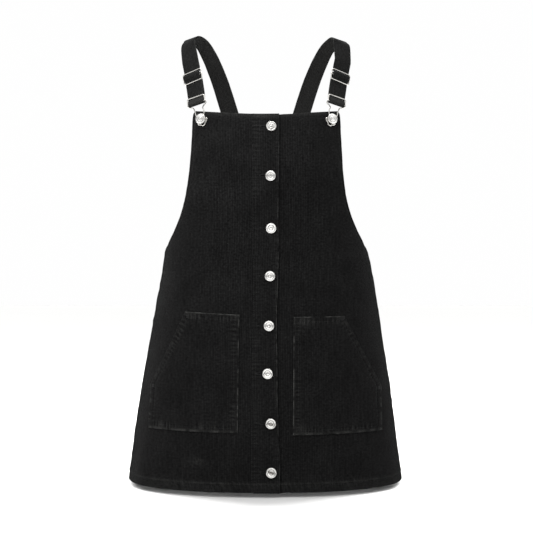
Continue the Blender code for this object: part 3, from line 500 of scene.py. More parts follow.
def foldSwell(angle, height):
    total = 0.0
    for centre, depth, spread, start in body["hemFolds"]:
        away = (angle - centre + 180.0) % 360.0 - 180.0
        total = total + (depth * np.exp(-(away / spread) ** 2)
                         * smoothStep(-start, -body["hem"], -height))
    return total


def skin(angle, height):
    half, square = sectionAt(height, 1), sectionAt(height, 4)
    s, c = np.sin(np.radians(angle)), np.cos(np.radians(angle))
    depth = np.where(c > 0, sectionAt(height, 2), sectionAt(height, 3))
    x = np.sign(s) * np.abs(s) ** (2.0 / square)
    y = -np.sign(c) * np.abs(c) ** (2.0 / square)
    grow = 1.0 + foldSwell(angle, height) / np.hypot(half * x, depth * y)
    return np.stack([sectionAt(height, 5) + half * x * grow, depth * y * grow,
                     height + 0.0 * x], -1)


def skinNormal(angle, height):
    around = skin(angle + 0.5, height) - skin(angle - 0.5, height)
    down = skin(angle, height - 2.0) - skin(angle, height + 2.0)
    normal = np.cross(down, around)
    return normal / np.linalg.norm(normal, axis=-1, keepdims=True)


def angleAtX(x, height):
    ratio = np.clip(np.abs(x) / sectionAt(height, 1), 0.0, 1.0)
    return np.sign(x) * np.degrees(np.arcsin(ratio ** (sectionAt(height, 4) / 2.0)))


# arc length round the body from the centre front, so that the wales run as they are cut
arcAngles = np.linspace(0.0, 180.0, 361)
arcHeights = np.arange(-100.0, -792.0, -2.0)
arcTables = {}
for side in (-1, 1):
    grid = skin(side * arcAngles[None, :], arcHeights[:, None])
    steps = np.linalg.norm(np.diff(grid, axis=1), axis=-1)
    arcTables[side] = np.concatenate([np.zeros((len(arcHeights), 1)),
                                      np.cumsum(steps, axis=1)], axis=1)


def arcRow(side, height):
    place = np.clip((arcHeights[0] - height) / 2.0, 0.0, len(arcHeights) - 1.001)
    i = int(place)
    share = place - i
    return arcTables[side][i] * (1 - share) + arcTables[side][i + 1] * share


def arcAt(side, angle, height):
    # how far round the cloth an angle (0 to 180) lies, for single values
    return float(np.interp(abs(angle), arcAngles, arcRow(side, height)))


def lifted(height, x):
    share = 1.0 - smoothStep(-body["bibTop"], -body["liftEnds"], -height)
    return height + body["cornerLift"] * share * np.minimum(np.abs(x) / body["bibHalf"], 1.0) ** 2


def edgeHalf(name, z):
    return smoothTable(body[name], 1, np.asarray(z, float))


def drape(angle, height):
    # the slight unevenness of cloth that hangs free, the same for all layers
    s, c, b = np.sin(np.radians(angle)), np.cos(np.radians(angle)), height / 95.0
    calm = 0.35 + 0.65 * smoothStep(260.0, 520.0, -height)        # tighter over the bib
    broad = softNoise(s * 3.0 + 7.0, b + c * 1.3, 3) - 0.5
    small = softNoise(c * 4.0 + 9.0, b * 1.7 + s * 4.0, 5) - 0.5
    below = smoothStep(0.0, 18.0, body["armholeEnds"] - height)
    seam = softNoise(height / 9.5, np.sign(s) * 3.0, 7) - 0.5     # the side seams pucker
    seam = seam * below * np.exp(-(c / 0.07) ** 2)
    return broad * body["sagBroad"] * calm + small * body["sagSmall"] + body["seamPucker"] * seam


# how a cut piece is laid on the body
def angleOfArc(across, height, fromBack=False):
    # angle round the body of a point this far along the cloth from the centre front; from
    # the centre back the angles run from 90 on the right to 270 on the left
    across, height = np.broadcast_arrays(np.asarray(across, float), np.asarray(height, float))
    angle = np.zeros(across.shape)
    key = np.round(height * 2).astype(int)
    for k in np.unique(key):
        pick = key == k
        x, right, left = across[pick], arcRow(1, k / 2), arcRow(-1, k / 2)
        if fromBack:
            angle[pick] = np.where(x < 0, np.interp(right[-1] + x, right, arcAngles),
                                   360.0 - np.interp(left[-1] - x, left, arcAngles))
        else:
            angle[pick] = np.where(x < 0, -np.interp(-x, left, arcAngles),
                                   np.interp(x, right, arcAngles))
    return angle


def offSkin(angle, height, out):
    normal = skinNormal(angle, height)
    return skin(angle, height) + normal * (out + drape(angle, height))[..., None], normal


def layFront(across, height, out):
    angle = angleOfArc(across, height)
    return offSkin(angle, lifted(height, skin(angle, height)[..., 0]), out)


def layBack(across, height, out):
    return offSkin(angleOfArc(across, height, fromBack=True), height, out)


def rowsBetween(top, bottom, step, extra=()):
    # evenly spaced heights, with the extra ones put in and no two too near each other
    count = round((top - bottom) / step)
    rows = list(np.linspace(top, bottom, count + 1))
    keep = [top, bottom, *extra]
    rows = [r for r in rows if all(abs(r - e) > 0.45 * step for e in keep)]
    return np.array(sorted(set(np.round(rows + keep, 3)), reverse=True))


def panelRows(top, step):
    # the rows of a front or of the back
    extra = [top - n for n in body["topRows"]] + [body["hem"] + n for n in body["hemRows"]]
    extra += [body["armholeEnds"] + n for n in body["armholeRows"]]
    return rowsBetween(top, body["hem"], step, extra)


def cutGrid(heights, low, high, hole=None):
    # points of a cut piece: a column every half wale, and three close ones along both edges
    step = corduroy["pitch"] / 2
    first, last = math.floor(low.min() / step), math.ceil(high.max() / step)
    columns = step * np.arange(first, last + 1)[None, :]
    inside = np.clip(columns, low[:, None] + 2.0, high[:, None] - 2.0)
    near = np.array([body["edgeColumns"]])
    left, right = low[:, None] + near, high[:, None] - near[:, ::-1]
    table = np.hstack([left, inside, right])
    isNew = np.ones(table.shape, bool)
    isNew[:, 1:] = np.abs(np.diff(table, axis=1)) > 1e-6
    index = (np.cumsum(isNew.ravel()) - 1).reshape(table.shape)
    rows = np.broadcast_to(np.arange(len(heights))[:, None], table.shape)[isNew]
    across = table[isNew]
    middleX = (table[:-1, :-1] + table[:-1, 1:]) / 2
    middleZ = np.broadcast_to(((heights[:-1] + heights[1:]) / 2)[:, None], middleX.shape)
    skip = hole(middleX, middleZ) if hole else np.zeros(middleX.shape, bool)
    faces = []
    for i, k in zip(*np.nonzero(~skip)):
        a, b, c, d = index[i, k], index[i + 1, k], index[i + 1, k + 1], index[i, k + 1]
        if a == d and b == c:
            continue
        if a == d:
            faces.append((a, b, c))
        elif b == c:
            faces.append((a, b, d))
        else:
            faces.append((a, b, c, d))
    return across, rows, [tuple(int(v) for v in face) for face in faces]


def gapToEdge(across, height, low, high, top, bottom):
    # how far inside the cut edges a point of a piece lies
    return np.minimum(np.minimum(across - low, high - across),
                      np.minimum(top - height, height - bottom))


def isTurned(height, top):
    # where the top edge and the hem are folded in
    return (height > top - body["topTurning"]) | (height < body["hem"] + body["hemTurning"])


def rounding(distance, radius=1.2):
    # how far a folded edge drops away, this near to its end
    inward = np.clip(radius - distance, 0.0, radius)
    return radius - np.sqrt(np.maximum(radius**2 - inward**2, 0.0))


def waleRelief(across, depth=0.30):
    # crests on whole wales, grooves between them
    return -depth * (1.0 - np.abs(np.cos(np.pi * across / corduroy["pitch"])) ** corduroy["round"])


def alongSeam(across, height, seam):
    # how far a point lies to the left of a sewn line, and how far along it
    line = seam["line"]
    best = np.full(across.shape, 1e9)
    where = np.zeros(across.shape)
    start = 0.0
    for (ax, az), (bx, bz) in zip(line, line[1:]):
        dx, dz = bx - ax, bz - az
        length = math.hypot(dx, dz)
        t = np.clip(((across - ax) * dx + (height - az) * dz) / length**2, 0.0, 1.0)
        gap = np.hypot(across - ax - t * dx, height - az - t * dz)
        left = np.where(dx * (height - az) < dz * (across - ax), -1.0, 1.0)
        nearer = gap < np.abs(best)
        best = np.where(nearer, gap * left, best)
        where = np.where(nearer, start + t * length, where)
        start += length
    return best, where


def puckers(across, height, seams):
    # each line of stitches pulls the cloth in, and puckers it on both sides in lumps that
    # are uneven in length and strength
    pulled = np.zeros(np.shape(across))
    waves = np.zeros(np.shape(across))
    for number, seam in enumerate(seams):
        gap, where = alongSeam(across, height, seam)
        seed = 11.0 + number * 3.1 + seam.get("seed", 0.0)
        pitch = seam.get("pitch", 7.0)
        turns = where / pitch + gap * seam.get("slant", 0.0) / pitch
        turns = turns + 1.6 * softNoise(where / (2.2 * pitch), 0.0 * where, seed)
        strength = 0.1 + 1.4 * softNoise(where / (3.5 * pitch), 0.0 * where, seed + 1.0)
        lumps = 0.5 * np.cos(2.0 * math.pi * turns) * strength
        far = np.abs(gap)
        pulled = pulled - seam["depth"] * np.exp(-(far / 1.5) ** 2)
        waves = waves + seam["pucker"] * lumps * np.exp(-far / seam.get("reach", 5.0))
    return pulled, waves


def seamRelief(across, height, seams):
    return sum(puckers(across, height, seams))


def puckerHighlight(across, height, seams):
    # the crests of the puckers get a painted highlight, a little lighter
    return body["lightened"] * np.clip(puckers(across, height, seams)[1], 0.0, 1.0)


def makeShell(name, across, height, faces, outer, inner, wearAndLight, turned):
    # closed piece: the face of the cloth outside, its back inside, a folded rim between them;
    # where it is turned in, the face shows inside too
    count = len(outer)
    directed = {(face[k - 1], face[k]) for face in faces for k in range(len(face))}
    rim = [(b, a, a + count, b + count) for a, b in directed if (b, a) not in directed]
    rim.sort()
    inside = [tuple(v + count for v in reversed(face)) for face in faces]
    indices = [0] * (len(faces) + len(rim))
    indices += [0 if all(turned[v] for v in face) else 1 for face in faces]
    uv = np.stack([across, height], 1)
    piece = newPiece(name + "_cloth", np.vstack([outer, inner]), faces + rim + inside,
                     [pile, backCloth], "black_corduroy", indices, np.vstack([uv, uv]),
                     np.concatenate([wearAndLight, wearAndLight]))
    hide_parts(name)
    print(name + ":", len(faces) * 4, "triangles")
    return piece


def ringFaces(rings, sides, start=0):
    # quads between rings of points, and a cap at each end
    faces = []
    for a in range(start, start + (rings - 1) * sides, sides):
        for s in range(sides):
            t = (s + 1) % sides
            faces.append((a + s, a + t, a + sides + t, a + sides + s))
    faces.append(tuple(start + s for s in reversed(range(sides))))
    faces.append(tuple(start + (rings - 1) * sides + s for s in range(sides)))
    return faces


# a machine stitch, in millimetres
stitching = {"length": 2.6, "pitch": 3.3, "radius": 0.27, "sunk": -0.30, "proud": 0.16}


class StitchBook:
    # collects stitches, then makes one piece of them
    def __init__(self):
        self.points = []
        self.faces = []

    def add(self, stations, normals, radius, sides=5):
        # one stitch through the stations, thinner where it enters the cloth
        start = len(self.points)
        count = len(stations)
        for k in range(count):
            along = stations[min(k + 1, count - 1)] - stations[max(k - 1, 0)]
            along = along / max(np.linalg.norm(along), 1e-9)
            across = np.cross(along, normals[k])
            across = across / max(np.linalg.norm(across), 1e-9)
            up = np.cross(across, along)
            size = radius * (0.55 if k in (0, count - 1) else 1.0)
            for s in range(sides):
                turn = 2.0 * math.pi * s / sides
                self.points.append(stations[k] + size * (across * math.cos(turn)
                                                         + up * math.sin(turn)))
        self.faces += ringFaces(count, sides, start)

    def sew(self, line, lay, pitch=None, length=None, radius=None):
        # stitches along a line of (across, height), laid by the piece's own function
        pitch = pitch or stitching["pitch"]
        length = length or stitching["length"]
        radius = radius or stitching["radius"]
        line = np.asarray(line, float)
        steps = np.linalg.norm(np.diff(line, axis=0), axis=1)
        marks = np.concatenate([[0.0], np.cumsum(steps)])
        number = max(1, int(marks[-1] / pitch))
        starts = (np.arange(number) + 0.12) * pitch
        shares = np.linspace(0.0, 1.0, 4)
        at = (starts[:, None] + length * shares[None, :]).ravel()
        at = np.clip(at, 0.0, marks[-1])
        across = np.interp(at, marks, line[:, 0])
        height = np.interp(at, marks, line[:, 1])
        sunk, proud = stitching["sunk"], stitching["proud"]
        lift = np.tile([sunk, proud, proud, sunk], number)
        places, normals = lay(across, height, lift)
        for k in range(number):
            self.add(places[4 * k:4 * k + 4], normals[4 * k:4 * k + 4], radius)

    def finish(self, name):
        piece = newPiece(name, self.points, self.faces, [thread], "black_corduroy")
        print(name + ":", len(self.faces) * 2, "triangles")
        return piece


def sewSeams(seams, lay):
    book = StitchBook()
    for seam in seams:
        book.sew(seam["line"], lay)
    return book


# the two fronts; the hem and scallop values serve the back too
front = {
    "rowStep": 3.0,
    "bandLeft": -24.2,
    "tucked": 0.6,                 # how far the left front reaches into the band
    # where the band's outer edge runs: height, x
    "bandEdge": [(-100.0, 22.2), (-208.0, 21.9), (-350.0, 21.7), (-403.0, 20.2), (-443.0, 18.4),
                 (-484.0, 17.2), (-524.0, 17.3), (-560.0, 19.0), (-624.0, 19.8), (-660.0, 21.4),
                 (-704.0, 23.0), (-730.0, 24.3), (-800.0, 24.6)],
    "standLeft": -20.0,            # the right front reaches under the band
    "standBlend": (30.0, 78.0),    # and comes up level between these
    "pressed": (1.3, 4.2),         # depth and width of the groove along the band's fold
    "underDrop": 1.2,              # the part under the band hangs lower at the hem
    "seamStart": 26.0,             # its own stitches start beside the band
    "foldRub": (0.17, 0.07, 0.10),      # along the turned-up edge, below it, at the very hem
    # painted highlight along the top of the bib: amount, reach, how much more at the centre, half
    # width
    "topHighlight": (0.135, 6.0, 0.45, 22.0),
    "topStitch": 9.0,              # below the top edge of the bib
    "armholeStitch": 6.5,
    "hemStitch": 11.5,
    "hemFold": 2.8,                # the edge turned up inside shows this far above the stitches
    "scallop": 0.45,               # the armhole edge waves where it is stitched
    "scallopPitch": 8.5,
    "scuff": (-117.0, -735.0, 17.0, 7.0, 0.16),     # arc, height, half sizes, amount
}


# how deep a sewn line pulls the cloth in, and how it puckers it
seamLooks = {
    "top": {"depth": 0.55, "pucker": 0.35, "reach": 3.5},
    "armhole": {"depth": 0.5, "pucker": 0.5, "reach": 4.0},
    "hem": {"depth": 0.8, "pucker": 0.8, "reach": 8.0, "pitch": 8.5, "slant": 0.4},
    "backHem": {"depth": 0.8, "pucker": 1.0, "reach": 8.0, "pitch": 8.5, "slant": 0.4},
    "bandHem": {"depth": 0.6, "pucker": 0.8, "reach": 8.0, "pitch": 8.0, "slant": 0.4},
    "pocket": {"depth": 0.7, "pucker": 1.8, "reach": 4.0, "pitch": 7.0},
    "underPocket": {"depth": 0.15, "pucker": 0.3, "reach": 5.0},
    "bandSeam": {"depth": 0.5, "pucker": 0.45, "reach": 3.0, "seed": 5.0},
    "bandFold": {"depth": 0.5, "pucker": 1.1, "reach": 8.0, "pitch": 5.6, "seed": 6.0},
    "bandEdge": {"depth": 0.5, "pucker": 0.7, "reach": 4.0, "pitch": 6.5, "seed": 7.0},
    "strapBox": {"depth": 0.5, "pucker": 0.3, "reach": 2.5},
    "strapCross": {"depth": 0.4, "pucker": 0.2, "reach": 2.5},
}


def sewn(kind, line, **more):
    return {"line": line, **seamLooks[kind], **more}


def bandEdge(height):
    return smoothTable(front["bandEdge"], 1, np.asarray(height, float))


def armholeArc(side, height):
    # how far round the cloth the front armhole edge lies on a row
    angles = np.linspace(20.0, 90.0, 281)
    x = np.abs(skin(side * angles, height + 0.0 * angles)[:, 0] - sectionAt(height, 5))
    z = lifted(height, x)
    over = x - edgeHalf("bibEdge", z)
    hit = np.nonzero(over >= 0)[0]
    if len(hit) == 0:
        return arcAt(side, 90.0, height)
    k = max(int(hit[0]), 1)
    share = over[k - 1] / (over[k - 1] - over[k]) if over[k] != over[k - 1] else 0.0
    angle = angles[k - 1] + (angles[k] - angles[k - 1]) * min(max(share, 0.0), 1.0)
    return arcAt(side, angle, height)


def seamArc(side, height, past=0.0):
    return arcAt(side, 90.0 + past, height)


def panelEdge(side, heights, armhole, sideSeam, seed):
    # how far the cut edge lies from the centre: an armhole, which curves round to the side
    # seam near its lowest point, and below it the seam
    foot, ends = body["armholeFoot"], body["armholeEnds"]
    gap = sideSeam(side, ends + foot) - armhole(side, ends + foot)
    edge = np.zeros(len(heights))
    for k, height in enumerate(heights):
        if height <= ends:
            edge[k] = sideSeam(side, height, body["seamOverlap"])
            continue
        if height - ends >= foot:
            edge[k] = armhole(side, height)
        else:
            edge[k] = sideSeam(side, height) - gap * ((height - ends) / foot) ** body["armholeCurve"]
        wave = softNoise(height / front["scallopPitch"], 0.0, seed + side) - 0.5
        edge[k] += front["scallop"] * wave
    return edge


def frontOuterEdge(side, heights):
    return panelEdge(side, heights, armholeArc, seamArc, 4.0)


def underBand(side, across):
    # how far the right front lies below the other pieces, where the band covers it
    low, high = front["standBlend"]
    level = body["cloth"] + body["layerGap"] if side > 0 else 0.0
    return -level * (1.0 - smoothStep(low, high, across))


def frontSeams(side):
    top, hem = body["bibTop"] - front["topStitch"], body["hem"] + front["hemStitch"]
    rows = np.arange(top, body["armholeEnds"] - 1.0, -6.0)
    edge = frontOuterEdge(side, rows) - front["armholeStitch"]
    start = side * front["seamStart"]
    return [
        sewn("top", [(start, top), (side * (edge[0] - 2.0), top)]),
        sewn("armhole", [(side * e, z) for e, z in zip(edge, rows)]),
        sewn("hem", [(start, hem), (side * (arcAt(side, 90.0, hem) - 1.0), hem)]),
    ]


def hemFold(across, height, seed):
    # the turned edge shows through as a ridge, rubbed lighter like the hem below it
    above = height - body["hem"]
    middle = front["hemStitch"] + front["hemFold"]
    fold = np.exp(-((above - middle) / 1.9) ** 2)
    lumps = softNoise(across / 9.0, height / 30.0, seed)
    patches = softNoise(across / 5.0, height / 5.0, seed + 1.0)
    below = 1.0 - smoothStep(middle - 5.0, middle, above)
    along, under, edge = front["foldRub"]
    wearAndLight = along * fold * (0.35 + 0.9 * lumps) + under * below * patches
    return fold, wearAndLight + edge * np.exp(-(above / 2.4) ** 2) * patches


def edgeRub(across, height, top, seed):
    # the pile is worn off here and there along the very edges
    edges = (np.exp(-((top - height) / 0.8) ** 2)
             + np.exp(-((height - body["hem"]) / 0.8) ** 2))
    lint = softNoise(height / 5.0, across / 5.0, seed)
    return np.clip(edges * (lint - 0.25), 0.0, 1.0) * 0.5


def topHighlight(across, height):
    # the turned top edge of the bib gets a painted highlight for the light from above, most at the
    # centre
    amount, reach, centre, half = front["topHighlight"]
    down = np.exp(-((body["bibTop"] - height - 1.0) / reach) ** 2)
    most = 1.0 + centre * np.exp(-((across + 2.0) / half) ** 2)
    return amount * most * down * (0.6 + 0.8 * softNoise(height / 2.0, across / 6.0, 66.0))


def makeFront(word, side):
    name = f"front_{word}_as_seen"
    # the skirt is pulled a little where the pocket is sewn to it
    pocketSeams = [sewn("underPocket", pocketOutline(side, -1.0), seed=side)]
    heights = panelRows(body["bibTop"], front["rowStep"])
    outer = frontOuterEdge(side, heights)
    if side < 0:
        low = -outer
        high = np.full(len(heights), front["bandLeft"] + front["tucked"])
    else:
        low = np.full(len(heights), front["standLeft"])
        high = outer
    across, rows, faces = cutGrid(heights, low, high)
    height = heights[rows]
    seams = frontSeams(side)
    level = underBand(side, across)
    if side > 0:
        depth, wide = front["pressed"]
        level = level - depth * np.exp(-((across - bandEdge(height) - 0.5) / wide) ** 2)
    edgeGap = gapToEdge(across, height, low[rows], high[rows], body["bibTop"], body["hem"])
    pull = seamRelief(across, height, seams) + seamRelief(across, height, pocketSeams)
    fold, foldWear = hemFold(across, height, 51.0 + side)
    relief = waleRelief(across) - rounding(edgeGap) + pull + 0.5 * fold
    if side > 0:
        under = 1 - smoothStep(22.0, 34.0, across)
        nearHem = smoothStep(-30.0, 0.0, body["hem"] - height)
        height = height - front["underDrop"] * under * nearHem
    faceOut, _ = layFront(across, height, level + relief)
    turned = isTurned(height, body["bibTop"])
    wall = np.where(turned, body["folded"], body["cloth"])
    faceIn, _ = layFront(across, height, level - wall + rounding(edgeGap, 0.8))
    wearAndLight = edgeRub(across, height, body["bibTop"], 8.0)
    # painted highlights on the pucker crests and along the bib's top edge, added to the wear
    wearAndLight = wearAndLight + puckerHighlight(across, height, seams) + puckerHighlight(across, height, pocketSeams)
    wearAndLight = wearAndLight + foldWear + topHighlight(across, height)
    x, z, wide, tall, amount = front["scuff"]      # a scuffed spot low on one side
    spot = np.exp(-((across - x) / wide) ** 2 - ((height - z) / tall) ** 2)
    threads = np.clip(3.0 * softNoise(height / 2.2, across / 2.2, 63.0) - 1.2, 0.0, 1.0)
    wearAndLight = wearAndLight + amount * spot * threads
    piece = makeShell(name, across, height, faces, faceOut, faceIn, wearAndLight, turned)

    def lay(a, h, lift):
        return layFront(a, h, underBand(side, a) + seamRelief(a, h, seams) + lift)

    stitches = sewSeams(seams, lay).finish("stitching_front_" + word)


# patch pockets; -1 is the left one as seen, 1 the right one
pocket = {
    "inner": 46.2,                 # x of the edge nearest the centre
    "top": -488.5,
    "bottom": -685.7,
    "topCorner": {-1: 139.5, 1: 132.5},     # x where the slant begins
    "cornerLift": {-1: 4.0, 1: 0.5},        # how far that corner is pulled up
    "side": 199.5,                 # x and height where the slant ends
    "sideTop": -611.0,
    "sideFlare": 1 / 75.0,         # how fast the side widens below that
    "drop": {-1: 0.0, 1: 3.6},     # how much lower it is sewn on
    "stitchIn": 8.0,               # from the edge to the stitches
    "crown": 0.5,                  # the middle stands a little off the skirt
    "barStitch": {"pitch": 7.0, "length": 6.6, "radius": 0.24},
    "barRows": 12,                 # rows of it at each end of the opening
    "barStep": 0.45,
    "rowStep": 1.9,
    "nearRows": [0.4, 1.2, 2.2, 7.2, 8.0, 8.8],
    # lighter corners: arc from the centre, height, half width and height, amount
    "corners": {-1: [(131.0, -494.0, 9.0, 6.0, 0.11), (53.0, -493.0, 6.0, 5.0, 0.10),
                     (190.0, -676.0, 6.0, 7.0, 0.05)],
                1: [(62.0, -500.0, 15.0, 7.0, 0.09), (128.0, -499.0, 8.0, 8.0, 0.09),
                    (57.0, -679.0, 9.0, 7.0, 0.12)]},
}


def arcOfX(side, x, height):
    return arcAt(side, float(angleAtX(x, height)), height)


def pocketLevels(side):
    # heights of the top edge, of the slant's lower end and of the bottom edge
    return [pocket[level] - pocket["drop"][side] for level in ("top", "sideTop", "bottom")]


def pocketOuterX(side, height):
    # x of the outer edge: the slanted opening, then a side that is nearly upright
    top, sideTop, _ = pocketLevels(side)
    slant = (pocket["side"] - pocket["topCorner"][side]) / (top - sideTop)
    return np.where(height > sideTop, pocket["side"] - (height - sideTop) * slant,
                    pocket["side"] + (sideTop - height) * pocket["sideFlare"])


def pocketOutline(side, inset):
    # the sewn line, this far inside the edge: up the inner side, across, down the slant, round
    top, _, bottom = pocketLevels(side)
    top, bottom = top - inset, bottom + inset
    xIn = pocket["inner"] + inset
    line = [(xIn, z) for z in np.linspace(bottom, top, 34)]
    xOut = float(pocketOuterX(side, top)) - 1.2 * inset
    line += [(x, top) for x in np.linspace(xIn, xOut, 12)[1:]]
    for z in np.linspace(top, bottom, 36)[1:]:
        line.append((float(pocketOuterX(side, z)) - 1.1 * inset, z))
    line += [(x, bottom) for x in np.linspace(line[-1][0], xIn, 22)[1:]]
    return [(side * arcOfX(side, x, z), z) for x, z in line]


def pocketWear(side, across, height, edgeIn, edgeOut):
    # the folded edges are rubbed in places, and the corners are thick with turned-in cloth
    top, sideTop, bottom = pocketLevels(side)
    reach = side * across
    _, where = alongSeam(across, height, {"line": pocketOutline(side, 0.5)})
    long = np.clip(softNoise(where / 6.0, 0.0 * where, 21.0 + side) * 1.6 - 0.45, 0.0, 1.0)
    short = np.clip(softNoise(where / 2.6, 0.0 * where, 31.0 + side) * 2.2 - 0.8, 0.0, 1.0)
    isSlant = smoothStep(-4.0, 4.0, height - sideTop)
    # distance from an edge, where the wear is most, its width, its amount
    wearAndLight = 0.0
    for gap, at, wide, amount in (
            (reach - edgeIn, 0.3, 1.0, 0.75 * long), (top - height, 0.3, 1.0, 0.75 * long),
            (height - bottom, 1.6, 2.2, 0.34 * (long + 0.15)),
            (edgeOut - reach, 2.4, 3.0, 0.3 * short * (1.0 - isSlant)),
            (edgeOut - reach, 4.0, 3.4, 0.16 * short * isSlant)):
        wearAndLight = wearAndLight + amount * np.exp(-((gap - at) / wide) ** 2)
    for x, z, wide, tall, amount in pocket["corners"][side]:
        apart = ((reach - x) / wide) ** 4 + ((height - z) / tall) ** 4
        wearAndLight = wearAndLight + amount * np.exp(-apart) * (0.6 + 0.8 * short)
    return wearAndLight


def makePocket(word, side):
    top, sideTop, bottom = pocketLevels(side)
    near = pocket["nearRows"]
    heights = rowsBetween(top, bottom, pocket["rowStep"],
                          [top - n for n in near] + [bottom + n for n in near])
    edgeIn = np.array([arcOfX(side, pocket["inner"], h) for h in heights])
    edgeOut = np.array([arcOfX(side, float(pocketOuterX(side, h)), h) for h in heights])
    low, high = (edgeIn, edgeOut) if side > 0 else (-edgeOut, -edgeIn)
    across, rows, faces = cutGrid(heights, low, high)
    height = heights[rows]
    seams = [sewn("pocket", pocketOutline(side, pocket["stitchIn"]), seed=side)]
    edgeGap = gapToEdge(across, height, low[rows], high[rows], top, bottom)
    relief = waleRelief(across) - rounding(edgeGap) + seamRelief(across, height, seams)
    relief = relief + pocket["crown"] * smoothStep(8.0, 45.0, edgeGap)
    lift = pocket["cornerLift"][side] * np.clip((np.abs(across) - 46.0) / 93.0, 0.0, 1.0)
    lift = lift * smoothStep(-60.0, 0.0, height - top)
    level = body["layerGap"] + body["cloth"]
    shift = underBand(side, across)
    faceOut, _ = layFront(across, height + lift, level + shift + relief)
    faceIn, _ = layFront(across, height + lift, body["layerGap"] + shift + 0.1)
    wearAndLight = pocketWear(side, across, height, edgeIn[rows], edgeOut[rows])
    # painted highlight on the crests of the puckers
    wearAndLight = wearAndLight + puckerHighlight(across, height, seams)
    piece = makeShell(f"pocket_{word}_as_seen", across, height, faces, faceOut, faceIn, wearAndLight,
                      np.zeros(len(rows), bool))

    def lay(a, h, up):
        return layFront(a, h, level + underBand(side, a) + seamRelief(a, h, seams) + up)

    book = sewSeams(seams, lay)
    # a bar of close stitches at each end of the slanted opening
    half = pocket["barStitch"]["pitch"] / 2
    for x, z in ((pocket["topCorner"][side] - 5.0, top - 1.6), (pocket["side"] - 6.0, sideTop)):
        for k in range(pocket["barRows"]):
            h = z - pocket["barStep"] * k
            a = side * arcOfX(side, x, h)
            book.sew([(a - half, h), (a + half, h)], lay, **pocket["barStitch"])
    book.finish("stitching_pocket_" + word)


# the double band that carries the buttonholes
band = {
    "proud": 0.8,                  # how far it stands out from the left front
    "rowStep": 1.9,
    "topRows": (0.4, 1.2, 2.2, 7.8, 9.0, 10.2),
    "hemRows": (0.4, 1.2, 2.4, 10.5, 11.5, 12.5, 14.3),
    "holeRows": (-3.2, -2.0, -1.2, -0.4, 0.4, 1.2, 2.0, 3.2),
    "buttonX": 8.0,
    "buttonHeights": [-167.7, -253.1, -341.8, -423.3, -507.2, -587.0, -669.8, -750.4],
    "buttonShifts": [0.1, -0.3, 0.9, -3.1, -4.1, -5.4, 0.8, 1.9],   # each pulls a little aside
    "holeHalf": 3.2,               # round the shank
    "slitHalf": 0.4,
    "slitLength": 17.0,
    "stitchLines": [("bandSeam", -22.6), ("bandFold", -17.6)],
    "edgeStitch": 4.0,             # inside the free edge
    "edgeRub": 0.38,
    "holePull": 0.45,              # how deep a button pulls the band in
    "holeRipple": 0.35,            # and how far it ripples beside the slit
    "holeStep": 0.5,               # between the close stitches along a slit
    "holeStitch": {"pitch": 1.3, "length": 1.25, "radius": 0.26},
    "barStitch": {"pitch": 3.8, "length": 3.6, "radius": 0.26},
}


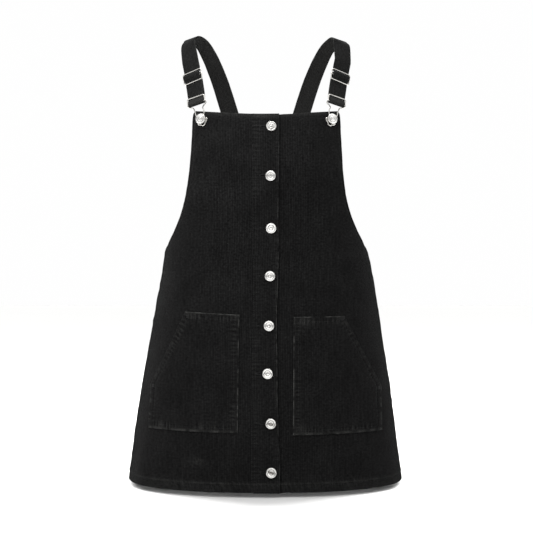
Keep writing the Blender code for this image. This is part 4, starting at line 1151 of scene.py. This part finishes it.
def makeBand():
    top, hem = body["bibTop"], body["hem"]
    centres = [(band["buttonX"] + s, z) for s, z in zip(band["buttonShifts"],
                                                        band["buttonHeights"])]
    extra = [top - n for n in band["topRows"]] + [hem + n for n in band["hemRows"]]
    extra += [z + d for _, z in centres for d in band["holeRows"]]
    heights = rowsBetween(top, hem, band["rowStep"], extra)
    low = np.full(len(heights), front["bandLeft"])
    wave = softNoise(heights / 34.0, 0.0 * heights, 31.0) - 0.5
    small = softNoise(heights / 9.0, 0.0 * heights, 33.0) - 0.5
    high = bandEdge(heights) + 0.5 * wave + 0.5 * small

    def hole(x, z):
        out = np.zeros(x.shape, bool)
        for cx, cz in centres:
            shank = (np.abs(x - cx) < band["holeHalf"]) & (np.abs(z - cz) < band["holeHalf"])
            slit = ((np.abs(z - cz) < band["slitHalf"]) & (x < cx)
                    & (x > cx - band["slitLength"]))
            out |= shank | slit
        return out

    across, rows, faces = cutGrid(heights, low, high, hole)
    height = heights[rows]
    marks = np.linspace(top - 2.0, hem + 1.0, 48)
    hemZ = hem + front["hemStitch"]
    lines = [sewn(kind, [(x, marks[0]), (x, marks[-1])]) for kind, x in band["stitchLines"]]
    lines += [sewn("bandEdge", list(zip(bandEdge(marks) - band["edgeStitch"], marks))),
              sewn("bandHem", [(front["bandLeft"], hemZ), (float(bandEdge(hem)), hemZ)])]
    edgeGap = gapToEdge(across, height, low[rows], high[rows], top, hem)
    relief = waleRelief(across) - rounding(edgeGap) + seamRelief(across, height, lines)
    for cx, cz in centres:     # the buttonhole pulls the band in and puckers it sideways
        dx = np.clip(np.abs(across - cx + band["slitLength"] / 2) - band["slitLength"] / 2,
                     0.0, None)
        far = np.hypot(dx, height - cz)
        relief = relief - band["holePull"] * np.exp(-(far / 2.6) ** 2)
        ripple = np.cos((height - cz) / 2.6) * np.exp(-np.abs(height - cz) / 9.0)
        relief = relief + (band["holeRipple"] * ripple * smoothStep(-26.0, -12.0, across - cx)
                           * (across < cx))
    faceOut, _ = layFront(across, height, band["proud"] + relief)
    faceIn, _ = layFront(across, height, -body["cloth"] + 0.15)
    rub = softNoise(height / 7.0, 0.0 * height, 35.0)
    wearAndLight = (band["edgeRub"] * np.exp(-((high[rows] - across - 0.4) / 1.1) ** 2)
            * np.clip(rub * 1.8 - 0.3, 0.0, 1.0))
    wearAndLight = wearAndLight * (0.3 + 0.7 * smoothStep(30.0, 120.0, top - height))     # least at the top
    # painted highlights along the top edge and on the pucker crests
    wearAndLight = wearAndLight + topHighlight(across, height)
    wearAndLight = wearAndLight + puckerHighlight(across, height, lines) + hemFold(across, height, 57.0)[1]
    piece = makeShell("button_band", across, height, faces, faceOut, faceIn, wearAndLight,
                      np.ones(len(rows), bool))

    def lay(a, h, up):
        return layFront(a, h, band["proud"] + seamRelief(a, h, lines) + up)

    book = sewSeams(lines, lay)
    book.sew([(front["bandLeft"] + 2.0, top - front["topStitch"]),
              (float(bandEdge(top)) - 2.0, top - front["topStitch"])], lay)
    for cx, cz in centres:     # close stitches round each slit, and a bar across its end
        end = cx - band["slitLength"]
        for x in np.arange(end - 0.2, cx - band["holeHalf"], band["holeStep"]):
            for way in (-1, 1):
                book.sew([(x, cz + way * 0.45), (x, cz + way * 1.75)], lay, **band["holeStitch"])
        for k in range(4):
            x = end - 0.5 - 0.42 * k
            book.sew([(x, cz - 1.9), (x, cz + 1.9)], lay, **band["barStitch"])
    book.finish("stitching_band")


# the plain back
back = {
    "rowStep": 5.0,
    "topStitch": 9.0,
    "armholeStitch": 6.5,
    # the corners of the box in which a strap's end is sewn down: across, height
    "strapBox": [(54.0, -222.0), (29.0, -225.0), (24.5, -243.5), (49.5, -240.5)],
}


def backArmholeArc(side, height):
    # distance from the centre back to the armhole edge; side 1 is +X
    x = float(edgeHalf("backEdge", height))
    angle = 180.0 - float(angleAtX(x, height))
    return arcAt(side, 180.0, height) - arcAt(side, angle, height)


def backSeamArc(side, height, past=0.0):
    return arcAt(side, 180.0, height) - arcAt(side, 90.0 - past, height)


def backEdge(side, heights):
    return panelEdge(side, heights, backArmholeArc, backSeamArc, 14.0)


def makeBack():
    top, hem = body["backTop"], body["hem"]
    heights = panelRows(top, back["rowStep"])
    low, high = -backEdge(1, heights), backEdge(-1, heights)
    across, rows, faces = cutGrid(heights, low, high)
    height = heights[rows]
    seamRows = np.arange(top - back["topStitch"], body["armholeEnds"] - 1.0, -6.0)
    inRight = backEdge(1, seamRows) - back["armholeStitch"]
    inLeft = backEdge(-1, seamRows) - back["armholeStitch"]
    topZ, hemZ = top - back["topStitch"], hem + front["hemStitch"]
    wide = arcAt(1, 180.0, hemZ) - arcAt(1, 90.0, hemZ)
    seams = [
        sewn("top", [(-inRight[0], topZ), (inLeft[0], topZ)]),
        sewn("armhole", [(-e, z) for e, z in zip(inRight, seamRows)]),
        sewn("armhole", [(e, z) for e, z in zip(inLeft, seamRows)]),
        sewn("backHem", [(-wide + 1.0, hemZ), (wide - 1.0, hemZ)]),
    ]
    # the strap ends are sewn through the back with a box and a cross
    for way in (-1, 1):
        a, b, c, d = [(way * x, z) for x, z in back["strapBox"]]
        seams += [sewn("strapBox", [a, b, c, d, a, c]), sewn("strapCross", [b, d])]
    edgeGap = gapToEdge(across, height, low[rows], high[rows], top, hem)
    fold, foldWear = hemFold(across, height, 53.0)
    relief = waleRelief(across) - rounding(edgeGap) + seamRelief(across, height, seams)
    relief = relief + 0.5 * fold
    faceOut, _ = layBack(across, height, relief)
    turned = isTurned(height, top)
    wall = np.where(turned, body["folded"], body["cloth"])
    faceIn, _ = layBack(across, height, -wall + rounding(edgeGap, 0.8))
    # edge and hem wear, with painted highlights on the pucker crests
    wearAndLight = edgeRub(across, height, top, 9.0) + puckerHighlight(across, height, seams) + foldWear
    piece = makeShell("back", across, height, faces, faceOut, faceIn, wearAndLight, turned)

    def lay(a, h, lift):
        return layBack(a, h, seamRelief(a, h, seams) + lift)

    stitches = sewSeams(seams, lay).finish("stitching_back")


halves = (("left", -1), ("right", 1))
for word, side in halves:
    makeFront(word, side)
makeBack()
makeBand()
for word, side in halves:
    makePocket(word, side)


# straps, clips and sliders: the same route as the solids, finer
harness = {
    "width": 32.0,
    "thick": 2.6,
    "flatWidth": 34.5,                     # half round the finished strap
    "edgeRound": 0.9,
    "wire": 1.05,
    "wireGap": 0.3,
    "clipBar": (121.9, -65.0, -122.5),     # the lower bar of a clip, on the +X side
    "risesTo": (138.9, -14.0, -22.0),      # where the straight stretch above it ends
    "faces": (0.424, -0.835, 0.348),
    "clipTopBar": 13.4,                    # bars, by their distance up the strap
    "sliderBars": (46.4, 57.3, 68.1),
    "straight": 92.0,
    "sewnEndAngle": 118.0,                 # where the strap's end is sewn round the middle bar
    "rail": 17.75,
    "clipRailHalf": 16.6,
    "frameBend": 3.2,
    "sleeveReach": 1.9,                    # the curl of a bar's end round a rail
    "sleeveWall": 0.55,
    # the strap is drawn in between the clip's rails and sits askew there
    "foldNarrow": 0.035,
    "foldSkew": 0.065,
    "foldBlend": (10.0, 26.0),
    "clearsCurve": 1.0,
    "stitchIn": 2.6,
    "longest": 2.6,                        # no stretch of the strap's middle line is longer
    "clothProud": 0.12,                    # no crest stands further out of a strap
    "waver": 0.012,                        # how unevenly wide a strap is, as a share
    # how much lighter the straps are: all over; on the inner face, painted light for the light that
    # falls on it; rubbed at the clip's fold and at the edges
    "lightened": 0.065,
    "paintedLightInside": 0.12,
    "rubbedFold": 0.14,
    "rubbedEdge": 0.30,
    "foldEnds": (8.0, 20.0),               # how far up from the clip's bar that fades
    # the rails of the clip below its top corners: across, up, out
    "clipRail": [(16.6, 3.6, 0.0), (16.6, 0.4, 0.0), (16.6, -0.6, -2.6), (15.8, -1.2, -4.8),
                 (13.4, -1.9, -6.6), (10.2, -3.6, -7.2)],
    # over the shoulder and down the back: place, then the way the strap faces
    "route": {
        -1: [
            (140.6, -6.0, -9.2, 0.58, -0.51, 0.62),
            (136.9, 2.0, 1.9, 0.30, -0.12, 0.94),
            (130.9, 10.5, 5.3, 0.04, 0.11, 0.99),
            (122.4, 20.0, 1.6, -0.08, 0.34, 0.93),
            (114.7, 29.5, -5.3, -0.23, 0.52, 0.82),
            (108.7, 38.0, -14.4, -0.28, 0.63, 0.72),
            (101.5, 50.0, -27.6, -0.25, 0.73, 0.63),
            (93.0, 62.0, -47.3, -0.21, 0.81, 0.54),
            (85.2, 72.0, -67.8, -0.13, 0.88, 0.44),
            (76.1, 81.0, -96.1, -0.04, 0.94, 0.32),
            (66.3, 87.0, -128.0, 0.03, 0.97, 0.22),
            (55.4, 91.3, -164.0, 0.04, 0.98, 0.14),
        ],
        1: [
            (135.3, -6.0, -12.8, 0.29, -0.67, 0.67),
            (133.5, 2.0, -1.8, 0.28, -0.14, 0.95),
            (128.6, 10.5, 3.0, 0.07, 0.13, 0.98),
            (121.3, 20.0, 0.0, -0.08, 0.33, 0.93),
            (113.7, 29.5, -6.4, -0.22, 0.52, 0.82),
            (107.4, 38.0, -14.3, -0.29, 0.63, 0.72),
            (100.1, 50.0, -27.3, -0.27, 0.72, 0.63),
            (91.2, 62.0, -46.7, -0.21, 0.80, 0.54),
            (83.1, 72.0, -67.1, -0.16, 0.87, 0.45),
            (73.6, 81.0, -95.3, -0.09, 0.93, 0.33),
            (63.8, 87.0, -127.3, -0.02, 0.97, 0.23),
            (53.5, 91.3, -163.4, 0.01, 0.98, 0.15),
        ],
    },
    "backEnd": {
        -1: [(44.5, -200.0), (40.5, -214.0), (34.5, -237.0)],
        1: [(42.7, -200.0), (38.8, -214.0), (33.0, -237.0)],
    },
    # half the hook's outline: across from the clip's middle, up from the button
    "hook": [(8.4, 20.0), (8.8, 16.6), (8.9, 13.4), (8.2, 9.8), (6.6, 6.6), (5.5, 3.4), (5.2, -0.6),
             (4.4, -3.6), (3.2, -5.6), (4.6, -6.9), (6.4, -5.6), (7.8, -3.8), (9.0, -3.4),
             (9.7, -5.2), (8.3, -7.5), (6.1, -9.1), (4.3, -10.4), (3.3, -12.0), (1.9, -13.2)],
    "hookEnd": -13.6,
    "hookOut": 2.0,                        # above the cloth
    "hookOffset": 1.3,
    "hookTilt": 19.0,
    "buttonTurn": 0.5,                     # from the cloth towards the front
    "clipButton": (112.2, -151.9),
    "buttonFoot": 1.1,
    "buttonUnder": 4.9,                    # the underside's height
}


def unit(v):
    return v / np.linalg.norm(v)


def splineThrough(points, steps):
    curve = []
    count = len(points)
    for k in range(count - 1):
        p1, p2 = points[k], points[k + 1]
        p0 = points[k - 1] if k else p1 * 2 - p2
        p3 = points[k + 2] if k + 2 < count else p2 * 2 - p1
        for step in range(steps):
            t = step / steps
            curve.append(0.5 * (2 * p1 + (p2 - p0) * t + (2 * p0 - 5 * p1 + 4 * p2 - p3) * t**2
                                + (3 * p1 - 3 * p2 + p3 - p0) * t**3))
    curve.append(points[-1].copy())
    return curve


def threadedLine(wheels, step=7.5):
    # line of a strap round bars, in (up, out); a wheel is (up, out, radius, which way round)
    leaves, meets = [], []
    for (s0, n0, r0, turn0), (s1, n1, r1, turn1) in zip(wheels, wheels[1:]):
        length = math.hypot(s1 - s0, n1 - n0)
        heading = math.atan2(n1 - n0, s1 - s0) - math.asin((turn1 * r1 - turn0 * r0) / length)
        left = (-math.sin(heading), math.cos(heading))
        leaves.append((s0 - turn0 * r0 * left[0], n0 - turn0 * r0 * left[1]))
        meets.append((s1 - turn1 * r1 * left[0], n1 - turn1 * r1 * left[1]))
    line = []
    for k, (s, n, radius, turn) in enumerate(wheels):
        if radius == 0.0:
            line.append((s, n))
            continue
        if k == 0:
            start = math.radians(harness["sewnEndAngle"])
        else:
            start = math.atan2(meets[k - 1][1] - n, meets[k - 1][0] - s)
        end = math.atan2(leaves[k][1] - n, leaves[k][0] - s)
        sweep = (end - start) * turn % (2.0 * math.pi)
        if sweep > math.radians(350.0):
            sweep = 0.0
        parts = max(1, math.ceil(math.degrees(sweep) / step))
        for part in range(parts + 1):
            angle = start + turn * sweep * part / parts
            line.append((s + radius * math.cos(angle), n + radius * math.sin(angle)))
    return line


def strapFrame(side):
    # origin and axes of the straight stretch in front: up it, out of it, inwards across it
    flip = np.array([side, 1.0, 1.0])
    origin = np.array(harness["clipBar"]) * flip
    up = unit((np.array(harness["risesTo"]) - np.array(harness["clipBar"])) * flip)
    out = np.array(harness["faces"]) * flip
    out = unit(out - up * out.dot(up))
    inwards = np.cross(up, out) if side < 0 else np.cross(out, up)
    return origin, up, out, inwards


def strapStations(side):
    # middle line of a strap from its sewn end to its end inside the back, with its axes
    origin, up, out, inwards = strapFrame(side)
    near = harness["wire"] + harness["wireGap"] + harness["thick"] / 2
    far = near + harness["thick"] + harness["wireGap"]
    low, middle, high = harness["sliderBars"]
    top = harness["clipTopBar"]
    wheels = [(middle, 0.0, near, -1), (low, 0.0, far, -1), (top, 0.0, far, -1),
              (0.0, 0.0, near, -1), (top, 0.0, near, 1), (low, 0.0, near, 1),
              (middle, 0.0, far, -1), (high, 0.0, near, 1), (harness["straight"], 0.0, 0.0, 1)]
    line = [(origin + up * s + out * n, None) for s, n in threadedLine(wheels)[:-1]]
    flip = np.array([side, 1.0, 1.0])
    straight = harness["straight"]
    stations = [(origin + up * (straight - 12.0), out), (origin + up * straight, out)]
    stations += [(np.array(r[:3]) * flip, np.array(r[3:]) * flip) for r in harness["route"][side]]
    for across, height in harness["backEnd"][side]:
        angle = side * (180.0 - float(angleAtX(across, height)))
        inward = (body["folded"] + body["layerGap"] + harness["clearsCurve"]
                  + harness["thick"] / 2)
        normal = skinNormal(angle, height)
        stations.append((skin(angle, height) - normal * inward, normal))
    steps = 6
    places = splineThrough([place for place, facing in stations], steps)
    facings = splineThrough([facing for place, facing in stations], steps)
    line += list(zip(places, facings))[steps:]

    fine = []
    for (a, faceA), (b, faceB) in zip(line, line[1:]):
        parts = max(1, math.ceil(np.linalg.norm(b - a) / harness["longest"]))
        for k in range(parts):
            t = k / parts
            both = faceA is not None and faceB is not None
            fine.append((a * (1 - t) + b * t, faceA * (1 - t) + faceB * t if both else faceA))
    fine.append(line[-1])
    places = np.array([place for place, facing in fine])
    along = np.gradient(places, axis=0)
    along /= np.linalg.norm(along, axis=1, keepdims=True)
    across = np.zeros(places.shape)
    for k, (place, facing) in enumerate(fine):
        if facing is None:
            across[k] = inwards
        elif side < 0:
            across[k] = np.cross(along[k], facing)
        else:
            across[k] = np.cross(facing, along[k])
        across[k] = unit(across[k] - along[k] * across[k].dot(along[k]))
    outs = np.cross(across, along) if side < 0 else np.cross(along, across)
    low, high = harness["foldBlend"]
    straight = np.array([facing is None for place, facing in fine])
    share = straight * (1.0 - smoothStep(low, high, (places - origin) @ up))
    across = (across * (1.0 - harness["foldNarrow"] * share)[:, None]
              - up * (harness["foldSkew"] * share)[:, None])
    marks = np.concatenate([[0.0], np.cumsum(np.linalg.norm(np.diff(places, axis=0), axis=1))])
    return places, across, outs, marks


def strapPull(across, along, seed):
    # the two rows of stitches along the edges, and what they pucker
    total = np.zeros(np.broadcast(across, along).shape)
    for way in (-1, 1):
        line = way * (harness["width"] / 2 - harness["stitchIn"])
        gap = np.abs(across - line)
        lumps = softNoise(along / 6.0, 0.0 * along, seed + way) - 0.5
        total = total - 0.3 * np.exp(-(gap / 1.2) ** 2) + 0.3 * lumps * np.exp(-gap / 3.0)
    return total


def makeStrap(word, side):
    places, across, outs, marks = strapStations(side)
    half, thick = harness["width"] / 2, harness["thick"] / 2
    origin, up = strapFrame(side)[:2]
    lift = (places - origin) @ up
    folded = (1.0 - smoothStep(*harness["foldEnds"], lift)) * (places[:, 1] < 0.0)
    flat = half - harness["edgeRound"]
    inner = [-flat] + list(corduroy["pitch"] / 2 * np.arange(-10, 11)) + [flat]
    turns = np.radians([30.0, 60.0, 90.0, 120.0, 150.0])
    section = [(u, 1.0) for u in inner]
    section += [(flat + (half - flat) * math.sin(t), math.cos(t)) for t in turns]
    section += [(u, -1.0) for u in reversed(inner)]
    section += [(-flat - (half - flat) * math.sin(t), -math.cos(t)) for t in turns]
    u = np.array([s[0] for s in section])[None, :]
    v = np.array([s[1] for s in section])[None, :]
    along = marks[:, None]
    onFace = (np.abs(v) > 0.99) * (np.abs(u) < flat + 0.01)
    pull = np.minimum(strapPull(u, along, 40.0 + side) + waleRelief(u, 0.26),
                      harness["clothProud"])
    level = v * (thick + onFace * pull)
    edge = softNoise(along / 7.0, 0.0 * along, 44.0 + side) - 0.5
    wide = u * (1.0 + harness["waver"] * edge)
    points = (places[:, None, :] + across[:, None, :] * wide[..., None]
              + outs[:, None, :] * level[..., None])
    sides, count = len(section), len(marks)
    index = np.arange(sides * count).reshape(count, sides)
    faces = []
    for k in range(count - 1):
        for s in range(sides):
            t = (s + 1) % sides
            loop = (index[k, s], index[k + 1, s], index[k + 1, t], index[k, t])
            faces.append(tuple(int(i) for i in (loop if side < 0 else reversed(loop))))
    ends = [tuple(int(i) for i in index[0]), tuple(int(i) for i in index[-1, ::-1])]
    faces += ends if side < 0 else [tuple(reversed(end)) for end in ends]
    lane = corduroy["pitch"] * (400 + 60 * side)     # its wales aren't those of the panels
    uv = np.stack([np.broadcast_to(u + lane, level.shape).ravel(),
                   np.broadcast_to(along, level.shape).ravel()], 1)
    rub = np.clip(softNoise(along / 9.0, 0.0 * along, 47.0 + side) * 1.6 - 0.6, 0.0, 1.0)
    wearAndLight = harness["rubbedEdge"] * rub * np.exp(-((half - np.abs(u)) / 0.8) ** 2)
    # painted light on the strap's inner face, where the light falls on it
    wearAndLight = wearAndLight + harness["lightened"] + harness["paintedLightInside"] * (v < 0.0)
    wearAndLight = wearAndLight + harness["rubbedFold"] * folded[:, None]
    piece = newPiece(f"strap_{word}_cloth", points.reshape(-1, 3), faces, [pile],
                     "black_corduroy", None, uv, wearAndLight.ravel())
    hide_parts(f"strap_{word}_as_seen")

    def lay(a, h, lift, face):
        at = [np.interp(h, marks, places[:, i]) for i in range(3)]
        out = np.stack([np.interp(h, marks, outs[:, i]) for i in range(3)], -1) * face
        wide = np.stack([np.interp(h, marks, across[:, i]) for i in range(3)], -1)
        level = thick + strapPull(a, h, 40.0 + side) + lift
        return np.stack(at, -1) + wide * a[:, None] + out * level[:, None], out

    book = StitchBook()
    for face in (1, -1):
        for way in (-1, 1):
            a = way * (half - harness["stitchIn"])
            book.sew([(a, 3.0), (a, marks[-1] - 3.0)], lambda p, q, r: lay(p, q, r, face))
    stitches = book.finish(f"stitching_strap_{word}")
    flat = (harness["flatWidth"] * mm, marks[-1] * mm)
    print(piece.name + ":", len(faces) * 2, "triangles,", round(marks[-1]), "mm long")


def wireTube(points, radii, sides=14, closed=False):
    # round wire along points, carrying its facing so that it doesn't twist
    points = np.asarray(points, float)
    radii = np.broadcast_to(np.asarray(radii, float), (len(points),))
    count = len(points)
    rings = []
    reference = None
    for k in range(count):
        if closed:
            along = unit(points[(k + 1) % count] - points[k - 1])
        else:
            along = unit(points[min(k + 1, count - 1)] - points[max(k - 1, 0)])
        if reference is None:
            reference = unit(np.cross(along, (0.31, 0.62, -0.72)))
        reference = unit(reference - along * reference.dot(along))
        across = np.cross(along, reference)
        turns = 2.0 * math.pi * np.arange(sides) / sides
        rings.append(points[k] + radii[k] * (np.cos(turns)[:, None] * reference
                                             + np.sin(turns)[:, None] * across))
    faces = ringFaces(count, sides)
    if closed:     # no caps: the last ring meets the first, turned to lie point to point
        gaps = [np.linalg.norm(rings[-1] - np.roll(rings[0], -d, axis=0)) for d in range(sides)]
        turn, last = int(np.argmin(gaps)), (count - 1) * sides
        faces[-2:] = [(last + s, last + (s + 1) % sides, (s + 1 + turn) % sides,
                       (s + turn) % sides) for s in range(sides)]
    return np.vstack(rings), faces


def wirePiece(name, tubes):
    points, faces = [], []
    for tubePoints, tubeFaces in tubes:
        start = sum(len(p) for p in points)
        points.append(tubePoints)
        faces += [tuple(i + start for i in face) for face in tubeFaces]
    piece = newPiece(name + "_wire", np.vstack(points), faces, [wireMetal], "nickel_plated_wire")
    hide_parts(name)
    print(name + ":", len(faces) * 2, "triangles")


def crossBar(origin, up, inwards, rail):
    # a bar whose ends are curled round the side rails
    wire = harness["wire"]
    tubes = [wireTube([origin - inwards * rail, origin + inwards * rail], wire)]
    reach, wall = harness["sleeveReach"], wire + harness["sleeveWall"]
    for end in (-1.0, 1.0):
        middle = origin + inwards * rail * end
        steps = [-reach, -reach + 0.1, -reach + 0.4, reach - 0.4, reach - 0.1, reach]
        sizes = [wall - 0.45, wall - 0.15, wall, wall, wall - 0.15, wall - 0.45]
        tubes.append(wireTube([middle + up * s for s in steps], sizes, 20))
    return tubes


def bend(centre, radius, start, end, steps=8):
    turns = np.radians(np.linspace(start, end, steps + 1))
    return [(centre[0] + radius * math.cos(t), centre[1] + radius * math.sin(t)) for t in turns]


def makeSlider(word, side):
    origin, up, _, inwards = strapFrame(side)
    low, middle, high = harness["sliderBars"]
    rail, r = harness["rail"], harness["frameBend"]
    right, left, top, bottom = rail - r, -rail + r, high - r, low + r
    outline = []
    for k, corner in enumerate(((right, top), (left, top), (left, bottom), (right, bottom))):
        outline += bend(corner, r, 90.0 * k, 90.0 * (k + 1))
    loop = [origin + inwards * u + up * s for u, s in outline]
    tubes = [wireTube(loop, harness["wire"], closed=True)]
    tubes += crossBar(origin + up * middle, up, inwards, rail)
    wirePiece(f"slider_{word}_as_seen", tubes)


def clipButtonPlace(side):
    across, height = harness["clipButton"]
    angle = side * float(angleAtX(across, height))
    return skin(angle, height), skinNormal(angle, height)


def makeClip(word, side):
    # a frame on the strap, and below it the hook that the button sits in
    origin, up, out, inwards = strapFrame(side)
    button, hookOut = clipButtonPlace(side)
    level = np.array([-side, 0.0, 0.0])
    level = unit(level - hookOut * level.dot(hookOut))
    rise = np.cross(level, hookOut)
    rise = rise if rise[2] > 0 else -rise
    tilt = math.radians(harness["hookTilt"])
    hookAcross = level * math.cos(tilt) + rise * math.sin(tilt)
    hookUp = rise * math.cos(tilt) - level * math.sin(tilt)
    middle = button + hookAcross * harness["hookOffset"]
    slant = inwards - up * harness["foldSkew"]
    rail, r = harness["clipRailHalf"], harness["frameBend"]
    start = bend((rail - r, harness["clipTopBar"] - r), r, 90.0, 0.0)
    upper = [(u, s, 0.0) for u, s in start] + harness["clipRail"]

    def half(sign):
        points = [origin + slant * sign * u + up * s + out * n for u, s, n in upper]
        for u, v in harness["hook"]:
            points.append(middle + hookAcross * sign * u + hookUp * v
                          + hookOut * harness["hookOut"])
        return points

    right, left = half(1.0), half(-1.0)
    end = middle + hookUp * harness["hookEnd"] + hookOut * harness["hookOut"]
    n = len(start)
    curve = splineThrough(right[n - 1:] + [end] + list(reversed(left[n - 1:])), 6)
    loop = right[:n - 1] + curve + list(reversed(left[:n]))[1:]
    tubes = [wireTube(loop, harness["wire"], closed=True)]
    tubes += crossBar(origin, up, slant, rail)
    wirePiece(f"clip_{word}_as_seen", tubes)


# buttons: a shank, a rolled rim and a plain ringed face
button = {
    "radius": 8.8,
    "clipRadius": 8.9,
    "shank": 2.6,
    "lift": 1.0,                   # the underside clears the band by this
    # from the rim inwards: distance from the edge or share of the radius, height
    "rim": [(0.9, 0.0), (0.35, 0.15), (0.06, 0.5), (0.0, 0.95), (0.1, 1.4), (0.4, 1.8),
            (0.85, 2.02), (1.35, 2.0), (1.8, 1.78), (2.1, 1.52), (2.4, 1.38), (2.8, 1.36)],
    "face": [(0.62, 1.5), (0.56, 1.62), (0.52, 1.72), (0.50, 1.95), (0.47, 2.08), (0.43, 2.1),
             (0.40, 2.0), (0.38, 1.84), (0.34, 1.74), (0.26, 1.76), (0.20, 1.86), (0.17, 2.1),
             (0.13, 2.28), (0.07, 2.38)],
    "top": 2.4,
    # a painted dark reflection across each face, in a streak: lean in degrees, strength, shift,
    # half width, half length, and the painted darkening of the whole face
    "reflectionStreaks": [(75.0, 0.34, 1.4, 1.9, 5.0, 0.18), (88.0, 0.5, 0.2, 1.0, 5.2, 0.0),
                (80.0, 0.38, 2.2, 1.0, 4.0, 0.0), (84.0, 0.5, 1.4, 1.1, 4.6, 0.0),
                (95.0, 0.5, 1.6, 1.1, 4.2, 0.02), (65.0, 0.3, -1.6, 1.2, 4.0, 0.06),
                (-14.0, 0.66, 0.5, 2.3, 7.0, 0.22), (-20.0, 0.74, -0.9, 2.4, 7.5, 0.2)],
    "clipReflection": (60.0, 0.2, 0.0, 1.2, 4.0, 0.0),
}


def turnedPiece(name, profile, place, axis, slot, reflectionStreak, sides=56):
    # a profile of (radius, height) turned about the axis, with a painted dark reflection along the
    # streak
    reference = unit(np.cross(axis, (0.2, 0.5, 0.9)))
    across = np.cross(axis, reference)
    turns = 2.0 * math.pi * np.arange(sides) / sides
    spokes = np.cos(turns)[:, None] * reference + np.sin(turns)[:, None] * across
    points, faces = [place + axis * profile[0][1]], []
    for radius, height in profile[1:-1]:
        points += list(place + axis * height + spokes * radius)
    points.append(place + axis * profile[-1][1])
    rings = len(profile) - 2
    for s in range(sides):
        t = (s + 1) % sides
        faces.append((0, 1 + t, 1 + s))
        for k in range(rings - 1):
            a, b = 1 + k * sides, 1 + (k + 1) * sides
            faces.append((a + s, a + t, b + t, b + s))
        last = 1 + (rings - 1) * sides
        faces.append((last + s, last + t, len(points) - 1))
    lean, strength, shift, wide, length, faceShade = reflectionStreak
    apart = np.array(points) - place
    x, z = apart[:, 0], apart[:, 2]
    cosine, sine = math.cos(math.radians(lean)), math.sin(math.radians(lean))
    along, beside = x * cosine + z * sine, x * sine - z * cosine - shift
    # painted dark reflection along the streak and over the whole face
    reflectionShade = faceShade + strength * np.exp(-(beside / wide) ** 2 - (along / length) ** 4)
    return newPiece(name, points, faces, [buttonMetal], slot, wearAndLight=np.clip(reflectionShade, 0.0, 1.0))


def makeButton(name, place, axis, radius, under, reflectionStreak):
    profile = [(0.0, 0.0), (button["shank"], 0.0), (button["shank"], under - 0.2),
               (button["shank"] + 0.3, under)]
    profile += [(radius - inset, under + height) for inset, height in button["rim"]]
    profile += [(radius * share, under + height) for share, height in button["face"]]
    profile.append((0.0, under + button["top"]))
    piece = turnedPiece(name + "_metal", profile, place, axis, "nickel_plated_brass", reflectionStreak)
    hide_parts(name)


for number, (height, shift) in enumerate(zip(band["buttonHeights"], band["buttonShifts"]), 1):
    angle = float(angleAtX(band["buttonX"] + shift, height))
    axis = skinNormal(angle, height)
    z = float(lifted(height, skin(angle, height)[0]))
    foot = body["cloth"] + body["layerGap"] - harness["wireGap"]
    place = skin(angle, z) - axis * foot
    under = band["proud"] + foot + button["lift"]
    makeButton(f"button_{number}", place, axis, button["radius"], under,
               button["reflectionStreaks"][number - 1])
for word, side in halves:
    place, normal = clipButtonPlace(side)
    turn = harness["buttonTurn"]
    axis = unit(normal * (1.0 - turn) + np.array([0.0, -turn, 0.0]))
    makeButton(f"clip_button_{word}_as_seen", place + normal * harness["buttonFoot"], axis,
               button["clipRadius"], harness["buttonUnder"], button["clipReflection"])
    makeSlider(word, side)
    makeClip(word, side)
    makeStrap(word, side)
print("straps, wire and buttons made")
